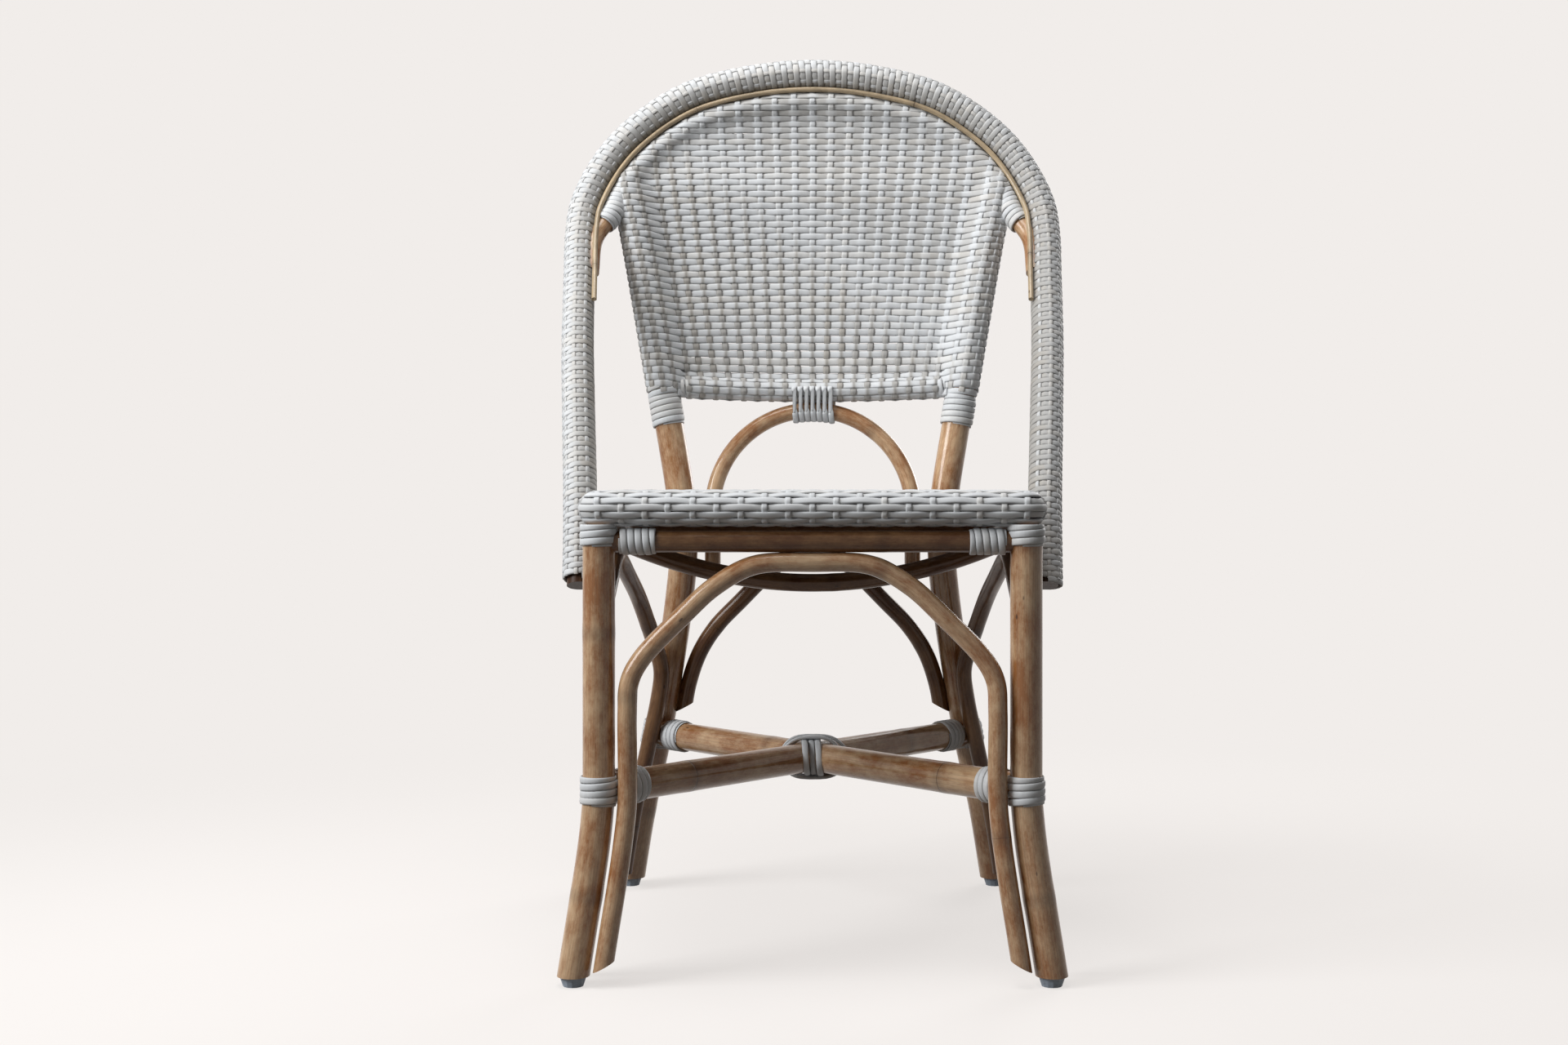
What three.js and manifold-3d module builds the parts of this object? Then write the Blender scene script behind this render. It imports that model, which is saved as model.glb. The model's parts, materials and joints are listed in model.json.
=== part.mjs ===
// A side chair of bent rattan poles, with a woven seat and a woven back inside an arched hoop.
// Millimetres, +Z up, +X to the right as seen from the front, -Y to the front.
import * as THREE from 'three';
import { mergeVertices } from 'three/addons/utils/BufferGeometryUtils.js';
import Module from 'manifold-3d';

const wasm = await Module();
wasm.setup();

// Fits and cuts
const joinGap = 0.3;
const weaveClearance = 0.6;
const bowClearance = 0.6;
const cutBlock = 260;
const cutOverrun = 20;
const footOverrun = 12;
const chordTolerance = 0.7;
const fineSteps = 220;

// Seat
const seatHeight = 454;
const seatWidth = 436;
const seatEdge = 33;
const seatEdgeFlat = 2;
const seatWebThickness = 7;
const seatFrontCorner = 6;
const seatRearCorner = 120;
const seatRingReach = 373.5;
const seatRingDiameter = 22;
const seatRimSteps = 4;
const seatRibPitch = 22;
const seatSideRibs = 9;
const ribRise = 1.4;
const ribFootWidth = 12;
const cornerSteps = 4;

// Legs, rear posts and glides
const legDiameter = 30;
const legReach = 197.5;
const legFlare = 22;
const legForward = 12;
const legKnee = 170;
const postDiameter = 32;
const postFlare = 60;
const postRake = 37;
const postSeatAngle = THREE.MathUtils.degToRad(26);
const glideHeight = 9;
const glideTopDiameter = 25;
const glideFootDiameter = 19;
const glideSides = 14;

// Rails, bows and stretchers
const apronDiameter = 20;
const bowDiameter = 18;
const bowFoot = 19;
const bowShoulder = 250;
const frontBowTurn = THREE.MathUtils.degToRad(16);
const sideBowTurn = THREE.MathUtils.degToRad(25);
const sideBowReach = 195;
const rearBowFoot = 207;
const bowEndSlope = THREE.MathUtils.degToRad(28);
const supportDiameter = 18;
const supportPlace = 150;
const supportSag = 46;
const stretcherDiameter = 30;
const stretcherHeight = 177.5;

// Hoop, inner arch and back panel
const hoopHeight = 953;
const hoopEndDrop = 88;
const hoopFront = 150;
const hoopRake = 302;
const hoopPoleDiameter = 26;
const hoopWovenDiameter = 36;
const hoopBareEnd = 4;
const archDiameter = 20;
const archWovenDiameter = 28;
const archStubOffset = 12;
const archFootDrop = 258;
const archRunOutDrop = 168;
const archWrapDrop = 205;
const trimDiameter = 8;
const trimFootDrop = 298;
const postWovenDiameter = 38;
const postTopDrop = 150;
const backRailRise = 117;
const backRailDiameter = 15;
const backRailWovenDiameter = 25;
const backRailSag = 5;
const postBandDrop = 5;
const backHollow = 15;
const backThickness = 7;
const backSetback = 3;
const backTopHalf = 7;
const backSideRibs = 5;
const backRibPitchLow = 31.6;
const backRibPitchHigh = 43.2;
const lowerArchRadius = 113;
const lowerArchDiameter = 18;
const lowerArchFootDrop = 84;

// Binding strands
const strandWidth = 6.2;
const strandThickness = 3;
const strandPitch = 6.95;
const strandCrown = 0.6;
const legTopTurns = 3;
const legTurns = 4;
const apronTurns = 5;
const stretcherTurns = 4;
const stretcherBandSetback = 24;
const postTurns = 4;
const centreTurns = 7;
const crossTurns = 2;

// Sides of the faceted round sections
const thickPoleSides = 10;
const thinPoleSides = 8;
const trimSides = 6;
const centreSides = 12;
const crossSides = 12;

// Bends, as shares of the height and the sideways run that they cover
const legFlareShares = [[0, 1], [0.25, 0.72], [0.52, 0.41], [0.78, 0.15], [1, 0]];
const postLowerShares = [[0, 1], [0.19, 0.77], [0.407, 0.43], [0.754, 0.03], [0.89, -0.05], [1, 0]];
const postUpperShares = [[0.05, 0.03], [0.29, 0.26], [0.83, 0.8]];
const shoulderShares = [[1, 0], [0.99, 0.2], [0.93, 0.35], [0.69, 0.66], [0.53, 0.84], [0.32, 0.98]];
const rearBowShares = [
  [1, 0], [0.95, 0.22], [0.86, 0.41], [0.73, 0.56], [0.55, 0.7], [0.35, 0.85], [0.16, 0.97],
];
const sideBowShares = [[0, 0], [0.25, 0.04], [0.45, 0.17], [0.64, 0.34], [0.84, 0.66], [0.96, 0.86]];
const hoopSeatShare = 0.902;
const hoopShares = [
  [0.891, 0, 0], [hoopSeatShare, 0.126, 0.093], [0.937, 0.296, 0.298], [0.968, 0.43, 0.49],
  [0.99, 0.57, 0.689], [1, 0.667, 0.805], [0.984, 0.73, 0.864], [0.892, 0.819, 0.924], [0.767, 0.885, 0.957],
  [0.547, 0.953, 0.983], [0.267, 0.989, 0.997], [0, 1, 1],
];

// Places worked out from the sizes above
const seatRingHeight = seatHeight - seatEdge / 2;
const seatUnderside = seatHeight - seatEdge;
const ringHalf = (seatWidth - seatEdge) / 2;
const legTop = seatRingHeight - seatRingDiameter / 2 - joinGap;
const soleTop = glideHeight + joinGap;
const strandRise = joinGap + strandThickness + strandCrown;
const apronHeight = seatUnderside - joinGap - strandRise - apronDiameter / 2;
const apronReach = seatRingReach + seatEdge / 2 - apronDiameter / 2 - joinGap;
const bowTop = apronHeight - (apronDiameter + bowDiameter) / 2 - joinGap;
const legToBow = (legDiameter + bowDiameter) / 2 + strandRise + bowClearance;
const postToBow = (postDiameter + bowDiameter) / 2 + strandRise + bowClearance;
const hoopSeatHalf = (seatWidth + hoopWovenDiameter) / 2 + joinGap;
const hoopHalf = hoopSeatHalf / hoopSeatShare;
const hoopTop = hoopHeight - hoopWovenDiameter / 2;
const hoopEnd = seatHeight - hoopEndDrop;
const archFoot = hoopHeight - archFootDrop;
const archRunOut = hoopHeight - archRunOutDrop;
const archWrapFoot = hoopHeight - archWrapDrop;
const trimFoot = hoopHeight - trimFootDrop;
const postTop = hoopHeight - postTopDrop;
const backRail = seatHeight + backRailRise;
const lowerArchFoot = seatHeight - lowerArchFootDrop;
const archOffset = (hoopWovenDiameter + archWovenDiameter) / 2 + joinGap;

// Materials
const rattan = new THREE.MeshStandardMaterial({ color: 0xa9815a, roughness: 0.35, metalness: 0 });
const strand = new THREE.MeshStandardMaterial({ color: 0xc6c8c5, roughness: 0.45, metalness: 0 });
const peel = new THREE.MeshStandardMaterial({ color: 0xb89a6c, roughness: 0.4, metalness: 0 });
const plastic = new THREE.MeshStandardMaterial({ color: 0x8f959b, roughness: 0.5, metalness: 0 });

// Solids and meshes
function solidOf(geometry) {
  const bare = geometry.clone();
  bare.deleteAttribute('normal');
  bare.deleteAttribute('uv');
  const closed = mergeVertices(bare);
  const vertProperties = new Float32Array(closed.attributes.position.array);
  const triVerts = new Uint32Array(closed.index.array);
  return new wasm.Manifold(new wasm.Mesh({ numProp: 3, vertProperties, triVerts }));
}

const chair = new THREE.Group();

function addPiece(name, solid, material) {
  const { vertProperties, triVerts } = solid.getMesh();
  const geometry = new THREE.BufferGeometry();
  geometry.setAttribute('position', new THREE.BufferAttribute(vertProperties, 3));
  geometry.setIndex(new THREE.BufferAttribute(triVerts, 1));
  geometry.computeVertexNormals();
  const mesh = new THREE.Mesh(geometry, material.clone());
  mesh.name = name;
  chair.add(mesh);
}

function lessAll(solid, cutters) {
  return cutters.reduce((left, cutter) => left.subtract(cutter), solid);
}

// A block whose top face passes through a point and looks along a direction
function blockUnder(point, direction) {
  const block = new THREE.BoxGeometry(cutBlock, cutBlock, cutBlock);
  block.translate(0, 0, -cutBlock / 2);
  const up = new THREE.Vector3(0, 0, 1);
  block.applyQuaternion(new THREE.Quaternion().setFromUnitVectors(up, direction.clone().normalize()));
  block.translate(point.x, point.y, point.z);
  return solidOf(block);
}

// An outline seen from the front, carried through the whole depth of the chair
function throughDepth(outline) {
  const depth = 2 * cutBlock + 2 * cutOverrun;
  const block = new THREE.ExtrudeGeometry(new THREE.Shape(outline), { depth, bevelEnabled: false });
  block.rotateX(Math.PI / 2);
  block.translate(0, depth - cutOverrun, 0);
  return solidOf(block);
}

function flatCut(height) {
  return (point) => blockUnder(new THREE.Vector3(point.x, point.y, height), new THREE.Vector3(0, 0, 1));
}

// Paths
class StationPath extends THREE.Curve {
  constructor(stations) {
    super();
    this.stations = stations;
    this.last = stations.length - 1;
    this.frames = this.computeFrenetFrames(this.last, false);
  }

  getPoint(share, target = new THREE.Vector3()) {
    const place = share * this.last;
    const index = Math.min(Math.floor(place), this.last - 1);
    return target.lerpVectors(this.stations[index], this.stations[index + 1], place - index);
  }

  getPointAt(share, target) {
    return this.getPoint(share, target);
  }

  getTangentAt(share, target = new THREE.Vector3()) {
    const index = Math.round(share * this.last);
    const here = this.stations[index];
    const ahead = this.stations[Math.min(index + 1, this.last)].clone().sub(here).normalize();
    const behind = here.clone().sub(this.stations[Math.max(index - 1, 0)]).normalize();
    return target.copy(ahead.add(behind)).normalize();
  }

  // The segment and the share of it that lies at a distance from the start
  locate(distance) {
    let left = distance;
    let index = 0;
    let length = this.stations[0].distanceTo(this.stations[1]);
    while (left > length && index < this.last - 1) {
      left -= length;
      index += 1;
      length = this.stations[index].distanceTo(this.stations[index + 1]);
    }
    return { index, share: left / length };
  }

  lengthTo(index) {
    let length = 0;
    for (let place = 0; place < index; place += 1) {
      length += this.stations[place].distanceTo(this.stations[place + 1]);
    }
    return length;
  }

  length() {
    return this.lengthTo(this.last);
  }

  // The first segment from the start that passes a height
  segmentAtHeight(height) {
    return this.stations.findIndex((station, place) => place < this.last
      && (station.z - height) * (this.stations[place + 1].z - height) <= 0);
  }

  atHeight(height) {
    const index = this.segmentAtHeight(height);
    const [from, to] = this.stations.slice(index, index + 2);
    return from.clone().lerp(to, (height - from.z) / (to.z - from.z));
  }

  distanceAtHeight(height) {
    const index = this.segmentAtHeight(height);
    return this.lengthTo(index) + this.stations[index].distanceTo(this.atHeight(height));
  }

  trimmed(length) {
    const towards = (from, to) => from.clone().add(to.clone().sub(from).setLength(length));
    const first = towards(this.stations[0], this.stations[1]);
    const final = towards(this.stations.at(-1), this.stations.at(-2));
    return new StationPath([first, ...this.stations.slice(1, -1), final]);
  }
}

function thinned(points) {
  const kept = [points[0]];
  const spot = new THREE.Vector3();
  let start = 0;
  for (let end = 2; end < points.length; end += 1) {
    const chord = new THREE.Line3(points[start], points[end]);
    const between = points.slice(start + 1, end);
    const stray = (point) => chord.closestPointToPoint(point, true, spot).distanceTo(point) > chordTolerance;
    if (between.some(stray)) {
      start = end - 1;
      kept.push(points[start]);
    }
  }
  kept.push(points.at(-1));
  return kept;
}

function bentPath(points) {
  return new StationPath(thinned(new THREE.CatmullRomCurve3(points).getSpacedPoints(fineSteps)));
}

function partPath(path, from, to) {
  const ends = [from, to].map((distance) => {
    const { index, share } = path.locate(distance);
    return { index, spot: path.stations[index].clone().lerp(path.stations[index + 1], share) };
  });
  const between = path.stations.slice(ends[0].index + 1, ends[1].index + 1);
  return new StationPath([ends[0].spot, ...between, ends[1].spot]);
}

function mirror(points) {
  return points.map((point) => new THREE.Vector3(-point.x, point.y, point.z)).reverse();
}

// A pole that is alike on both sides, from the points of one side that end on the middle plane
function archPath(points) {
  const all = [...points, ...mirror(points).slice(1)];
  const fine = new THREE.CatmullRomCurve3(all).getSpacedPoints(2 * fineSteps);
  const half = thinned(fine.slice(0, fineSteps + 1).reverse()).reverse();
  return new StationPath([...half, ...mirror(half).slice(1)]);
}

// Poles
class Pole {
  constructor(path, diameter, sides) {
    this.path = path;
    this.radius = diameter / 2;
    this.sides = sides;
  }

  corners(radius) {
    const turn = 2 * Math.PI / this.sides;
    return Array.from({ length: this.sides }, (_, corner) => {
      return new THREE.Vector2(radius * Math.cos(corner * turn), radius * Math.sin(corner * turn));
    });
  }

  solid(growth = 0) {
    const section = new THREE.Shape(this.corners(this.radius + growth));
    const options = { steps: this.path.last, extrudePath: this.path };
    return solidOf(new THREE.ExtrudeGeometry(section, options));
  }

  // A point on a corner line of the pole, at a distance from its start and a height over its face
  surface(distance, corner, height) {
    const { index, share } = this.path.locate(distance);
    const angle = corner * 2 * Math.PI / this.sides;
    const ends = [index, index + 1].map((place) => {
      const out = this.path.frames.normals[place].clone().multiplyScalar(Math.cos(angle));
      out.addScaledVector(this.path.frames.binormals[place], Math.sin(angle));
      return this.path.stations[place].clone().addScaledVector(out, this.radius + height);
    });
    return ends[0].lerp(ends[1], share);
  }
}

// Bindings: one unbroken strand wound round a surface
const strandSection = [
  [-strandWidth / 2, 0], [strandWidth / 2, 0], [strandWidth / 2, strandThickness],
  [0, strandThickness + strandCrown], [-strandWidth / 2, strandThickness],
];

function ringGeometry(rings) {
  const points = rings.flat();
  const count = rings[0].length;
  const index = [];
  for (let ring = 0; ring < rings.length - 1; ring += 1) {
    for (let side = 0; side < count; side += 1) {
      const next = (side + 1) % count;
      const [a, b] = [ring * count + side, ring * count + next];
      index.push(a, b, a + count, b, b + count, a + count);
    }
  }
  const top = (rings.length - 1) * count;
  for (let side = 1; side < count - 1; side += 1) {
    index.push(0, side + 1, side, top, top + side, top + side + 1);
  }
  const geometry = new THREE.BufferGeometry().setFromPoints(points);
  geometry.setIndex(index);
  return geometry;
}

function facingOut(geometry) {
  const place = geometry.attributes.position;
  const [a, b, c] = [new THREE.Vector3(), new THREE.Vector3(), new THREE.Vector3()];
  const index = Array.from(geometry.index.array);
  let volume = 0;
  for (let corner = 0; corner < index.length; corner += 3) {
    a.fromBufferAttribute(place, index[corner]);
    b.fromBufferAttribute(place, index[corner + 1]);
    c.fromBufferAttribute(place, index[corner + 2]);
    volume += a.dot(b.cross(c));
  }
  if (volume < 0) {
    geometry.setIndex(index.reverse());
  }
  return geometry;
}

let leastGap = Infinity;

function measureGap(rings, perTurn) {
  for (let ring = 0; ring + perTurn < rings.length; ring += 1) {
    for (const other of [ring + perTurn - 1, ring + perTurn]) {
      for (const point of rings[ring]) {
        const gap = Math.min(...rings[other].map((facing) => facing.distanceTo(point)));
        leastGap = Math.min(leastGap, gap);
      }
    }
  }
}

function binding(surface, perTurn, start, turns) {
  const rings = [];
  for (let step = 0; step <= turns * perTurn; step += 1) {
    const along = start + strandWidth / 2 + step * strandPitch / perTurn;
    const corner = step % perTurn;
    rings.push(strandSection.map(([across, rise]) => surface(along + across, corner, joinGap + rise)));
  }
  measureGap(rings, perTurn);
  return solidOf(facingOut(ringGeometry(rings)));
}

function bindingLength(turns) {
  return turns * strandPitch + strandWidth;
}

function poleBinding(pole, start, turns) {
  return binding((along, corner, height) => pole.surface(along, corner, height), pole.sides, start, turns);
}

function onSide(points, sign) {
  return points.map((point) => new THREE.Vector3(sign * point.x, point.y, point.z));
}

// Front legs: straight to the knee, then flared to the foot
function soleOverrun(points) {
  const outward = points[0].clone().sub(points[1]).setLength(footOverrun);
  return outward.add(points[0]);
}

const legBend = legFlareShares.map(([rise, run]) => new THREE.Vector3(
  legReach + run * legFlare,
  -run * legForward,
  soleTop + rise * (legKnee - soleTop),
));
const legLower = new THREE.CatmullRomCurve3([soleOverrun(legBend), ...legBend]).getSpacedPoints(fineSteps);
const legPath = new StationPath([...thinned(legLower), new THREE.Vector3(legReach, 0, legTop)]);

// Hoop: one bent pole from beside the seat, up and back, over the top and down again
const hoopPath = archPath(hoopShares.map(([across, rise, back]) => new THREE.Vector3(
  across * hoopHalf,
  hoopFront + back * hoopRake,
  hoopEnd + rise * (hoopTop - hoopEnd),
)));
const hoopPole = new Pole(hoopPath, hoopPoleDiameter, thinPoleSides);
const hoopWoven = new Pole(hoopPath.trimmed(hoopBareEnd), hoopWovenDiameter, thickPoleSides);

// Directions across the hoop at a station: to the front, and towards the panel
function hoopFrame(index) {
  const along = hoopPath.getTangentAt(index / hoopPath.last);
  const front = new THREE.Vector3(0, -1, 0);
  front.addScaledVector(along, -front.dot(along)).normalize();
  const inward = new THREE.Vector3().crossVectors(front, along).normalize();
  return { front, inward };
}

function besideHoop(distance, inwardOffset, frontOffset) {
  const { index, share } = hoopPath.locate(distance);
  const spots = [index, index + 1].map((place) => {
    const { front, inward } = hoopFrame(place);
    const spot = hoopPath.stations[place].clone();
    return spot.addScaledVector(inward, inwardOffset).addScaledVector(front, frontOffset);
  });
  return spots[0].lerp(spots[1], share);
}

// Distances along the hoop of its own stations between a height on one side and that on the other
function hoopDistances(height) {
  const from = hoopPath.distanceAtHeight(height);
  const to = hoopPath.length() - from;
  const marks = hoopPath.stations.map((_, index) => hoopPath.lengthTo(index));
  return [from, ...marks.filter((mark) => mark > from && mark < to), to];
}

// Inner arch: follows the hoop from inside, and is pared away where it runs out against it
const archFootAt = hoopPath.distanceAtHeight(archFoot);
const archUpper = hoopDistances(archRunOut).map((distance) => besideHoop(distance, archOffset, 0));
const archFootSpot = besideHoop(archFootAt, archStubOffset, 0);
const innerArchPath = new StationPath([archFootSpot, ...archUpper, ...mirror([archFootSpot])]);
const arch = new Pole(innerArchPath, archDiameter, thinPoleSides);

// Trim: a thin round peel in the groove between the hoop and the arch
const grooveToHoop = (hoopWovenDiameter + trimDiameter) / 2 + joinGap;
const grooveToArch = (archWovenDiameter + trimDiameter) / 2 + joinGap;
const grooveInward = (grooveToHoop ** 2 - grooveToArch ** 2 + archOffset ** 2) / (2 * archOffset);
const grooveFront = Math.sqrt(grooveToHoop ** 2 - grooveInward ** 2);
const inGroove = (distance) => besideHoop(distance, grooveInward, grooveFront);
const trim = new Pole(new StationPath(hoopDistances(trimFoot).map(inGroove)), trimDiameter, trimSides);

// Rear posts: from the foot, past the seat's rear corner, up to the inner arch
const seatCornerCentre = ringHalf - seatRearCorner;
const postSeatOffset = seatRearCorner + (seatEdge + postDiameter) / 2 + joinGap;
const postSeatSpot = new THREE.Vector3(
  seatCornerCentre + postSeatOffset * Math.sin(postSeatAngle),
  seatRingReach - seatRearCorner + postSeatOffset * Math.cos(postSeatAngle),
  seatRingHeight,
);
const postTopSpot = onSide([innerArchPath.atHeight(postTop)], 1)[0];
const postLower = postLowerShares.map(([rise, run]) => new THREE.Vector3(
  postSeatSpot.x + run * postFlare,
  postSeatSpot.y + run * postRake,
  THREE.MathUtils.lerp(soleTop, seatRingHeight, rise),
));
const postUpper = postUpperShares.map(([rise, run]) => new THREE.Vector3(
  THREE.MathUtils.lerp(postSeatSpot.x, postTopSpot.x, run),
  THREE.MathUtils.lerp(postSeatSpot.y, postTopSpot.y, run),
  THREE.MathUtils.lerp(seatRingHeight, postTopSpot.z, rise),
));
const postPath = bentPath([soleOverrun(postLower), ...postLower, ...postUpper, postTopSpot]);

// Each side's leg and post, as poles
const signs = { right: 1, left: -1 };
const sideNames = Object.keys(signs);
const legs = {};
const posts = {};
for (const side of sideNames) {
  const [leg, post] = [legPath, postPath].map((path) => new StationPath(onSide(path.stations, signs[side])));
  legs[side] = new Pole(leg, legDiameter, thickPoleSides);
  posts[side] = new Pole(post, postDiameter, thickPoleSides);
}
const allLegs = (growth) => sideNames.map((side) => legs[side].solid(growth));
const allPosts = (growth) => sideNames.map((side) => posts[side].solid(growth));

// A straight path from one side of the chair to the other, at the front
function straightAcross(half, height) {
  return new StationPath([new THREE.Vector3(half, 0, height), new THREE.Vector3(-half, 0, height)]);
}

// A ring seen from above: straight front and sides, with a bend at each rear corner
function ringPath(height, front, reach) {
  const plan = new THREE.Path();
  plan.moveTo(ringHalf, front);
  plan.lineTo(ringHalf, reach - seatRearCorner);
  plan.absarc(seatCornerCentre, reach - seatRearCorner, seatRearCorner, 0, Math.PI / 2, false);
  plan.lineTo(-seatCornerCentre, reach);
  plan.absarc(-seatCornerCentre, reach - seatRearCorner, seatRearCorner, Math.PI / 2, Math.PI, false);
  plan.lineTo(-ringHalf, front);
  const corners = plan.getPoints(cornerSteps);
  const apart = (point, index) => index === 0 || point.distanceTo(corners[index - 1]) > joinGap;
  return new StationPath(corners.filter(apart).map((point) => new THREE.Vector3(point.x, point.y, height)));
}

function seatOutline(inset, frontCorner) {
  const outline = new THREE.Shape();
  const [half, front, reach] = [ringHalf - inset, inset, seatRingReach - inset];
  const rearCorner = seatRearCorner - inset;
  outline.moveTo(-half + frontCorner, front);
  outline.absarc(half - frontCorner, front + frontCorner, frontCorner, -Math.PI / 2, 0, false);
  outline.absarc(half - rearCorner, reach - rearCorner, rearCorner, 0, Math.PI / 2, false);
  outline.absarc(-half + rearCorner, reach - rearCorner, rearCorner, Math.PI / 2, Math.PI, false);
  outline.absarc(-half + frontCorner, front + frontCorner, frontCorner, Math.PI, 3 * Math.PI / 2, false);
  return outline;
}

// Seat: a bent ring and a front rail, wrapped and spanned by the weave
const seatRingPath = ringPath(seatRingHeight, -seatRingDiameter / 2, seatRingReach);
const seatRing = new Pole(seatRingPath, seatRingDiameter, thinPoleSides);
const seatRail = new Pole(straightAcross(ringHalf, seatRingHeight), seatRingDiameter, thinPoleSides);

// Strands lie double along the warps, which leaves shallow grooves between them
function seatGrooves() {
  const valley = seatHeight - ribRise;
  const edge = (seatSideRibs + 1 / 2) * seatRibPitch;
  const top = seatHeight + cutOverrun;
  const outline = [new THREE.Vector2(-edge, top), new THREE.Vector2(-edge, valley)];
  for (let rib = -seatSideRibs; rib <= seatSideRibs; rib += 1) {
    const middle = rib * seatRibPitch;
    outline.push(new THREE.Vector2(middle - ribFootWidth / 2, valley));
    outline.push(new THREE.Vector2(middle, seatHeight + ribRise));
    outline.push(new THREE.Vector2(middle + ribFootWidth / 2, valley));
  }
  outline.push(new THREE.Vector2(edge, valley), new THREE.Vector2(edge, top));
  return throughDepth(outline);
}

function seatWeave() {
  const rim = (seatEdge - seatEdgeFlat) / 2;
  const slab = new THREE.ExtrudeGeometry(seatOutline(0, seatFrontCorner), {
    depth: seatEdgeFlat,
    bevelSize: seatEdge / 2,
    bevelThickness: rim,
    bevelSegments: seatRimSteps,
    curveSegments: cornerSteps,
  });
  slab.translate(0, 0, seatUnderside + rim);
  const pocketDepth = seatEdge - seatWebThickness + cutOverrun;
  const pocket = new THREE.ExtrudeGeometry(seatOutline(seatEdge / 2, seatFrontCorner), {
    depth: pocketDepth,
    bevelEnabled: false,
    curveSegments: cornerSteps,
  });
  pocket.translate(0, 0, seatHeight - seatWebThickness - pocketDepth);
  const legJoints = sideNames.map((side) => {
    const top = new THREE.Vector3(signs[side] * legReach, 0, seatRingHeight);
    const foot = top.clone().setZ(legTop - joinGap);
    return new Pole(new StationPath([foot, top]), seatRingDiameter / 2, thinPoleSides).solid();
  });
  const frame = [seatRing.solid(weaveClearance), seatRail.solid(weaveClearance), hoopWoven.solid(joinGap)];
  const uprights = [...allLegs(weaveClearance), ...allPosts(joinGap)];
  return lessAll(solidOf(slab), [seatGrooves(), solidOf(pocket), ...frame, ...uprights, ...legJoints]);
}

addPiece('seat_ring_bent', seatRing.solid(), rattan);
addPiece('seat_rail_front', seatRail.solid().subtract(seatRing.solid(joinGap)), rattan);
addPiece('seat_weave', seatWeave(), strand);

// Legs and posts, cut flat above their glides
function addUprights() {
  const topCut = [arch.solid(joinGap), hoopWoven.solid(joinGap)];
  for (const side of sideNames) {
    const [leg, post] = [legs[side], posts[side]];
    const postCuts = [flatCut(soleTop)(post.path.stations[0]), ...topCut];
    addPiece(`front_leg_${side}`, leg.solid().subtract(flatCut(soleTop)(leg.path.stations[0])), rattan);
    addPiece(`rear_post_${side}`, lessAll(post.solid(), postCuts), rattan);
  }
}
addUprights();

function addGlide(name, path, sign) {
  const spot = path.atHeight(soleTop);
  const profile = [
    new THREE.Vector2(0, 0),
    new THREE.Vector2(glideFootDiameter / 2, 0),
    new THREE.Vector2(glideTopDiameter / 2, glideHeight),
    new THREE.Vector2(0, glideHeight),
  ];
  const glide = new THREE.LatheGeometry(profile, glideSides);
  glide.rotateX(Math.PI / 2);
  glide.translate(sign * spot.x, spot.y, 0);
  addPiece(name, solidOf(glide), plastic);
}

for (const side of sideNames) {
  addGlide(`glide_front_${side}`, legPath, signs[side]);
  addGlide(`glide_rear_${side}`, postPath, signs[side]);
}

// Aprons: a straight rail between the front legs and a bent ring behind them
const frontApron = new Pole(straightAcross(legReach, apronHeight), apronDiameter, thickPoleSides);
const apronRing = new Pole(ringPath(apronHeight, 0, apronReach), apronDiameter, thinPoleSides);
const boundLegs = allLegs(strandRise + joinGap);
addPiece('apron_front', lessAll(frontApron.solid(), boundLegs), rattan);
addPiece('apron_ring', lessAll(apronRing.solid(), [...boundLegs, ...allPosts(joinGap)]), rattan);

// Bows
const turned = (reach, angle) => [reach * Math.cos(angle), reach * Math.sin(angle)];

function frontBow() {
  const [inward, forward] = turned(legToBow, frontBowTurn);
  const heights = [soleTop, ...legFlareShares.slice(1).map(([rise]) => soleTop + rise * (legKnee - soleTop))];
  const lower = heights.map((height) => {
    const spot = legPath.atHeight(height);
    return new THREE.Vector3(spot.x - inward, spot.y - forward, height);
  });
  const upper = shoulderShares.map(([across, rise]) => new THREE.Vector3(
    across * (legReach - inward),
    -forward * (1 - rise),
    THREE.MathUtils.lerp(bowShoulder, bowTop, rise),
  ));
  const crown = new THREE.Vector3(0, 0, bowTop);
  return new Pole(archPath([...lower, ...upper, crown]), bowDiameter, thinPoleSides);
}

function rearBow() {
  const foot = postPath.atHeight(rearBowFoot - bowDiameter);
  const inward = (postDiameter + bowDiameter) / 2 + joinGap;
  const points = rearBowShares.map(([across, rise]) => new THREE.Vector3(
    across * (foot.x - inward),
    THREE.MathUtils.lerp(foot.y, apronReach, rise),
    THREE.MathUtils.lerp(foot.z, bowTop, rise),
  ));
  const crown = new THREE.Vector3(0, apronReach, bowTop);
  return new Pole(archPath([...points, crown]), bowDiameter, thinPoleSides);
}

function sideBowHalf(path, outward, along) {
  const footing = (height) => {
    const spot = path.atHeight(height);
    return new THREE.Vector3(spot.x + outward, spot.y + along, height);
  };
  const lower = legFlareShares.map(([rise]) => footing(soleTop + rise * (legKnee - soleTop)));
  const shoulder = footing(bowShoulder);
  const upper = sideBowShares.map(([rise, run]) => new THREE.Vector3(
    THREE.MathUtils.lerp(shoulder.x, ringHalf, rise),
    THREE.MathUtils.lerp(shoulder.y, sideBowReach, run),
    THREE.MathUtils.lerp(shoulder.z, bowTop, rise),
  ));
  return [...lower, ...upper];
}

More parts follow.
